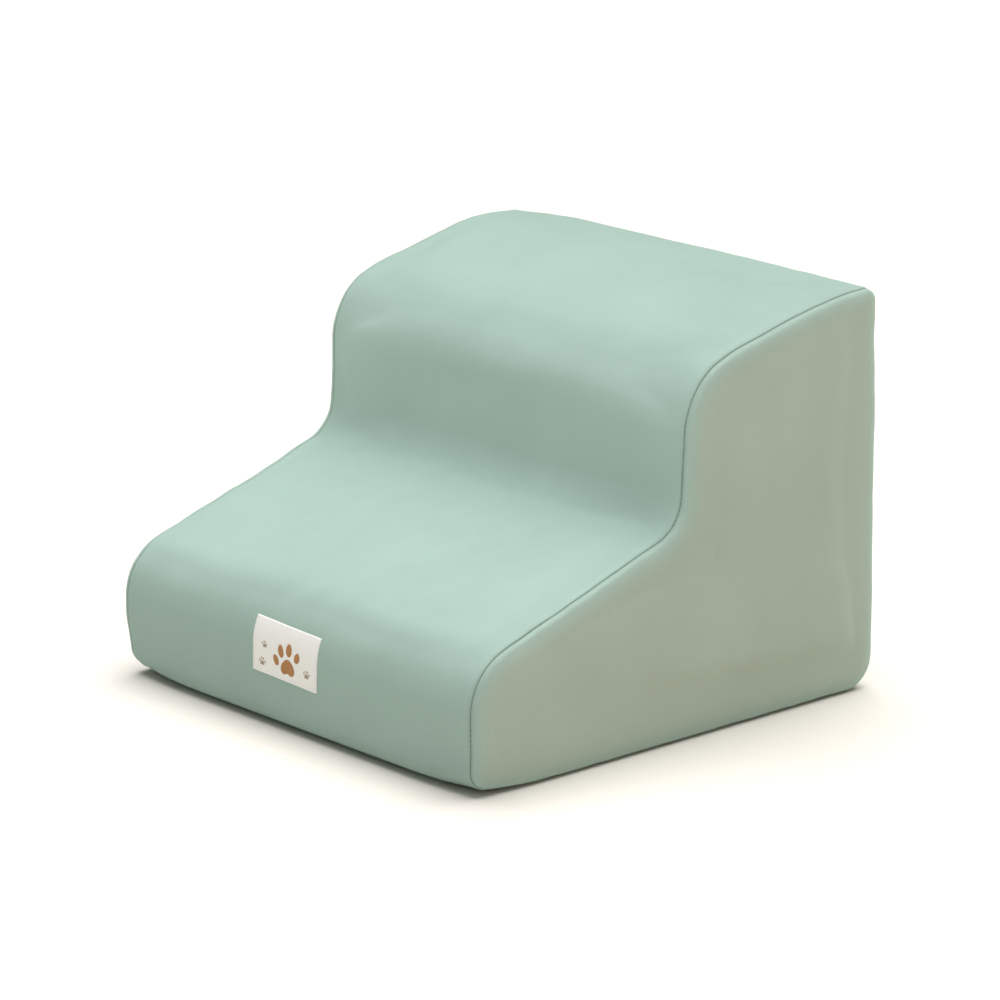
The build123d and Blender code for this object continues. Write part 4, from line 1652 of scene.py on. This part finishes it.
class PETRAMP_OT_slider(Operator):
    """The zip slider: two shield plates, flanges, a neck and a bail"""

    bl_idname = "pet_ramp.slider"
    bl_label = "Slider"

    def execute(self, context):
        low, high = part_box("zip_slider")
        plate, fold = 1.2 * MM, 1.3 * MM
        outer_face = high.y - 2.8 * MM
        inner_from = low.y
        parts = [
            self.shield(low, high, outer_face - plate, outer_face),
            self.shield(low, high, inner_from, inner_from + plate),
        ]
        coil_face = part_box("zip_tape_upper")[1].y + 0.3 * MM
        for sign in (1, -1):
            outer_z = ZIP_Z + sign * (high.z - low.z) / 2
            inner_z = outer_z - sign * fold
            flange = add_block(
                (low.x + 2.6 * MM, coil_face, min(outer_z, inner_z)),
                (high.x - 2.6 * MM, outer_face - 0.2 * MM, max(outer_z, inner_z)),
            )
            round_off(lambda edge: runs(edge, 1), 0.5 * MM, 3)
            parts.append(flange)
        middle = (low.x + high.x) / 2
        neck = add_block(
            (middle - 1.5 * MM, inner_from + plate / 2, ZIP_Z - 0.2 * MM),
            (middle + 1.5 * MM, outer_face - plate / 2, ZIP_Z + 0.2 * MM),
        )
        round_off(lambda edge: runs(edge, 1), 0.12 * MM, 2)
        parts.append(neck)
        parts.append(self.bail(middle, outer_face, high.y))
        slider = join_all(parts, "zip_slider_body")
        soften_edges(slider, 0.14 * MM)
        finish_piece(slider, metal(), "zip_metal", "zip_slider", body="slider")
        return {"FINISHED"}

    @staticmethod
    def shield(low, high, start, end):
        """A plate with rounded shoulders that narrows to the closed end of the coils."""
        plate = add_block((low.x, start, low.z), (high.x, end, high.z))
        cut_across(*(low.x + share * (high.x - low.x) for share in (0.35, 0.7)))
        pick("VERT", lambda vertex: vertex.co.x < low.x + 0.1 * MM)
        bpy.ops.transform.resize(value=(1, 1, 0.62), center_override=(low.x, start, ZIP_Z))
        centre = (low.x + high.x) / 2
        round_off(
            lambda edge: runs(edge, 1) and abs(middle_of(edge).x - centre) > 6 * MM, 2.2 * MM, 5
        )
        return plate

    @staticmethod
    def bail(middle, plate_face, top):
        """A low bridge over the plate, which holds the pull tab."""
        half_long, half_wide = 4.6 * MM, 1.2 * MM
        bridge = add_block(
            (middle - half_long, plate_face - 0.95 * MM, ZIP_Z - half_wide),
            (middle + half_long, top, ZIP_Z + half_wide),
        )
        open_window(lambda face: abs(face.normal.z) > 0.9, 1.0 * MM)
        round_off(
            lambda edge: runs(edge, 2) and middle_of(edge).y > top - 0.1 * MM, 0.9 * MM, 4
        )
        return bridge


class PETRAMP_OT_pull_tab(Operator):
    """The pull tab, with the window that the bail passes through and a round hole"""

    bl_idname = "pet_ramp.pull_tab"
    bl_label = "Pull tab"

    def execute(self, context):
        low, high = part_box("zip_pull_tab")
        pivot = high.x - 0.6 * MM
        wide = 7.0 * MM
        tab = add_block((low.x, low.y, ZIP_Z - wide / 2), (high.x, high.y, ZIP_Z + wide / 2))
        window_end = pivot - 6.6 * MM
        hole_from = low.x + 6.6 * MM
        cut_across(window_end, pivot - 9.5 * MM, hole_from)
        pick("VERT", lambda vertex: vertex.co.x > window_end - 0.1 * MM)
        bpy.ops.transform.resize(value=(1, 1, 5.8 / 7.0), center_override=(pivot, low.y, ZIP_Z))

        def flat_between(start, end):
            return lambda face: abs(face.normal.y) > 0.9 and start < face.calc_center_median().x < end

        def hole_corner(edge):
            middle = middle_of(edge)
            inside = low.x + MM < middle.x < hole_from - MM and abs(middle.z - ZIP_Z) < 2.4 * MM
            return runs(edge, 1) and inside

        open_window(flat_between(window_end, high.x), 1.2 * MM)
        open_window(flat_between(low.x, hole_from), 2.1 * MM)
        round_off(hole_corner, 1.1 * MM, 4)
        free_end, pivot_end = low.x + 0.1 * MM, high.x - 0.1 * MM
        round_off(lambda edge: runs(edge, 1) and middle_of(edge).x < free_end, 2.3 * MM, 6)
        round_off(lambda edge: runs(edge, 2) and middle_of(edge).x > pivot_end, 0.5 * MM, 4)
        soften_edges(tab, 0.16 * MM)
        tab.name = "zip_pull_tab_plate"
        finish_piece(tab, metal(), "zip_metal", "zip_pull_tab", body="pull_tab")
        return {"FINISHED"}


class PETRAMP_PT_pieces(Panel):
    """Makes the ramp's pieces and stage"""

    bl_label = "Pet Ramp"
    bl_idname = "PETRAMP_PT_pieces"
    bl_space_type = "VIEW_3D"
    bl_region_type = "UI"
    bl_category = "Pet Ramp"

    def draw(self, context):
        column = self.layout.column(align=True)
        for operator in OPERATORS:
            column.operator(operator.bl_idname)


OPERATORS = (
    PETRAMP_OT_stage,
    PETRAMP_OT_foam,
    PETRAMP_OT_liner,
    PETRAMP_OT_cover,
    PETRAMP_OT_seams,
    PETRAMP_OT_label,
    PETRAMP_OT_grip,
    PETRAMP_OT_zip,
    PETRAMP_OT_stops,
    PETRAMP_OT_slider,
    PETRAMP_OT_pull_tab,
)
GROUPS = (
    (CoverSizes, "pet_ramp_sizes"),
    (CoverColours, "pet_ramp_colours"),
    (StageSizes, "pet_ramp_stage"),
)


def register():
    """Registers the property groups, operators and panel."""
    for group, name in GROUPS:
        bpy.utils.register_class(group)
        setattr(bpy.types.Scene, name, PointerProperty(type=group))
    for each in (*OPERATORS, PETRAMP_PT_pieces):
        bpy.utils.register_class(each)


def unregister():
    """Takes them away again."""
    for each in (PETRAMP_PT_pieces, *reversed(OPERATORS)):
        bpy.utils.unregister_class(each)
    for group, name in reversed(GROUPS):
        delattr(bpy.types.Scene, name)
        bpy.utils.unregister_class(group)


def main():
    """Makes the stage and every piece."""
    register()
    for operator in OPERATORS:
        group, name = operator.bl_idname.split(".")
        getattr(getattr(bpy.ops, group), name)()


if __name__ == "__main__":
    main()
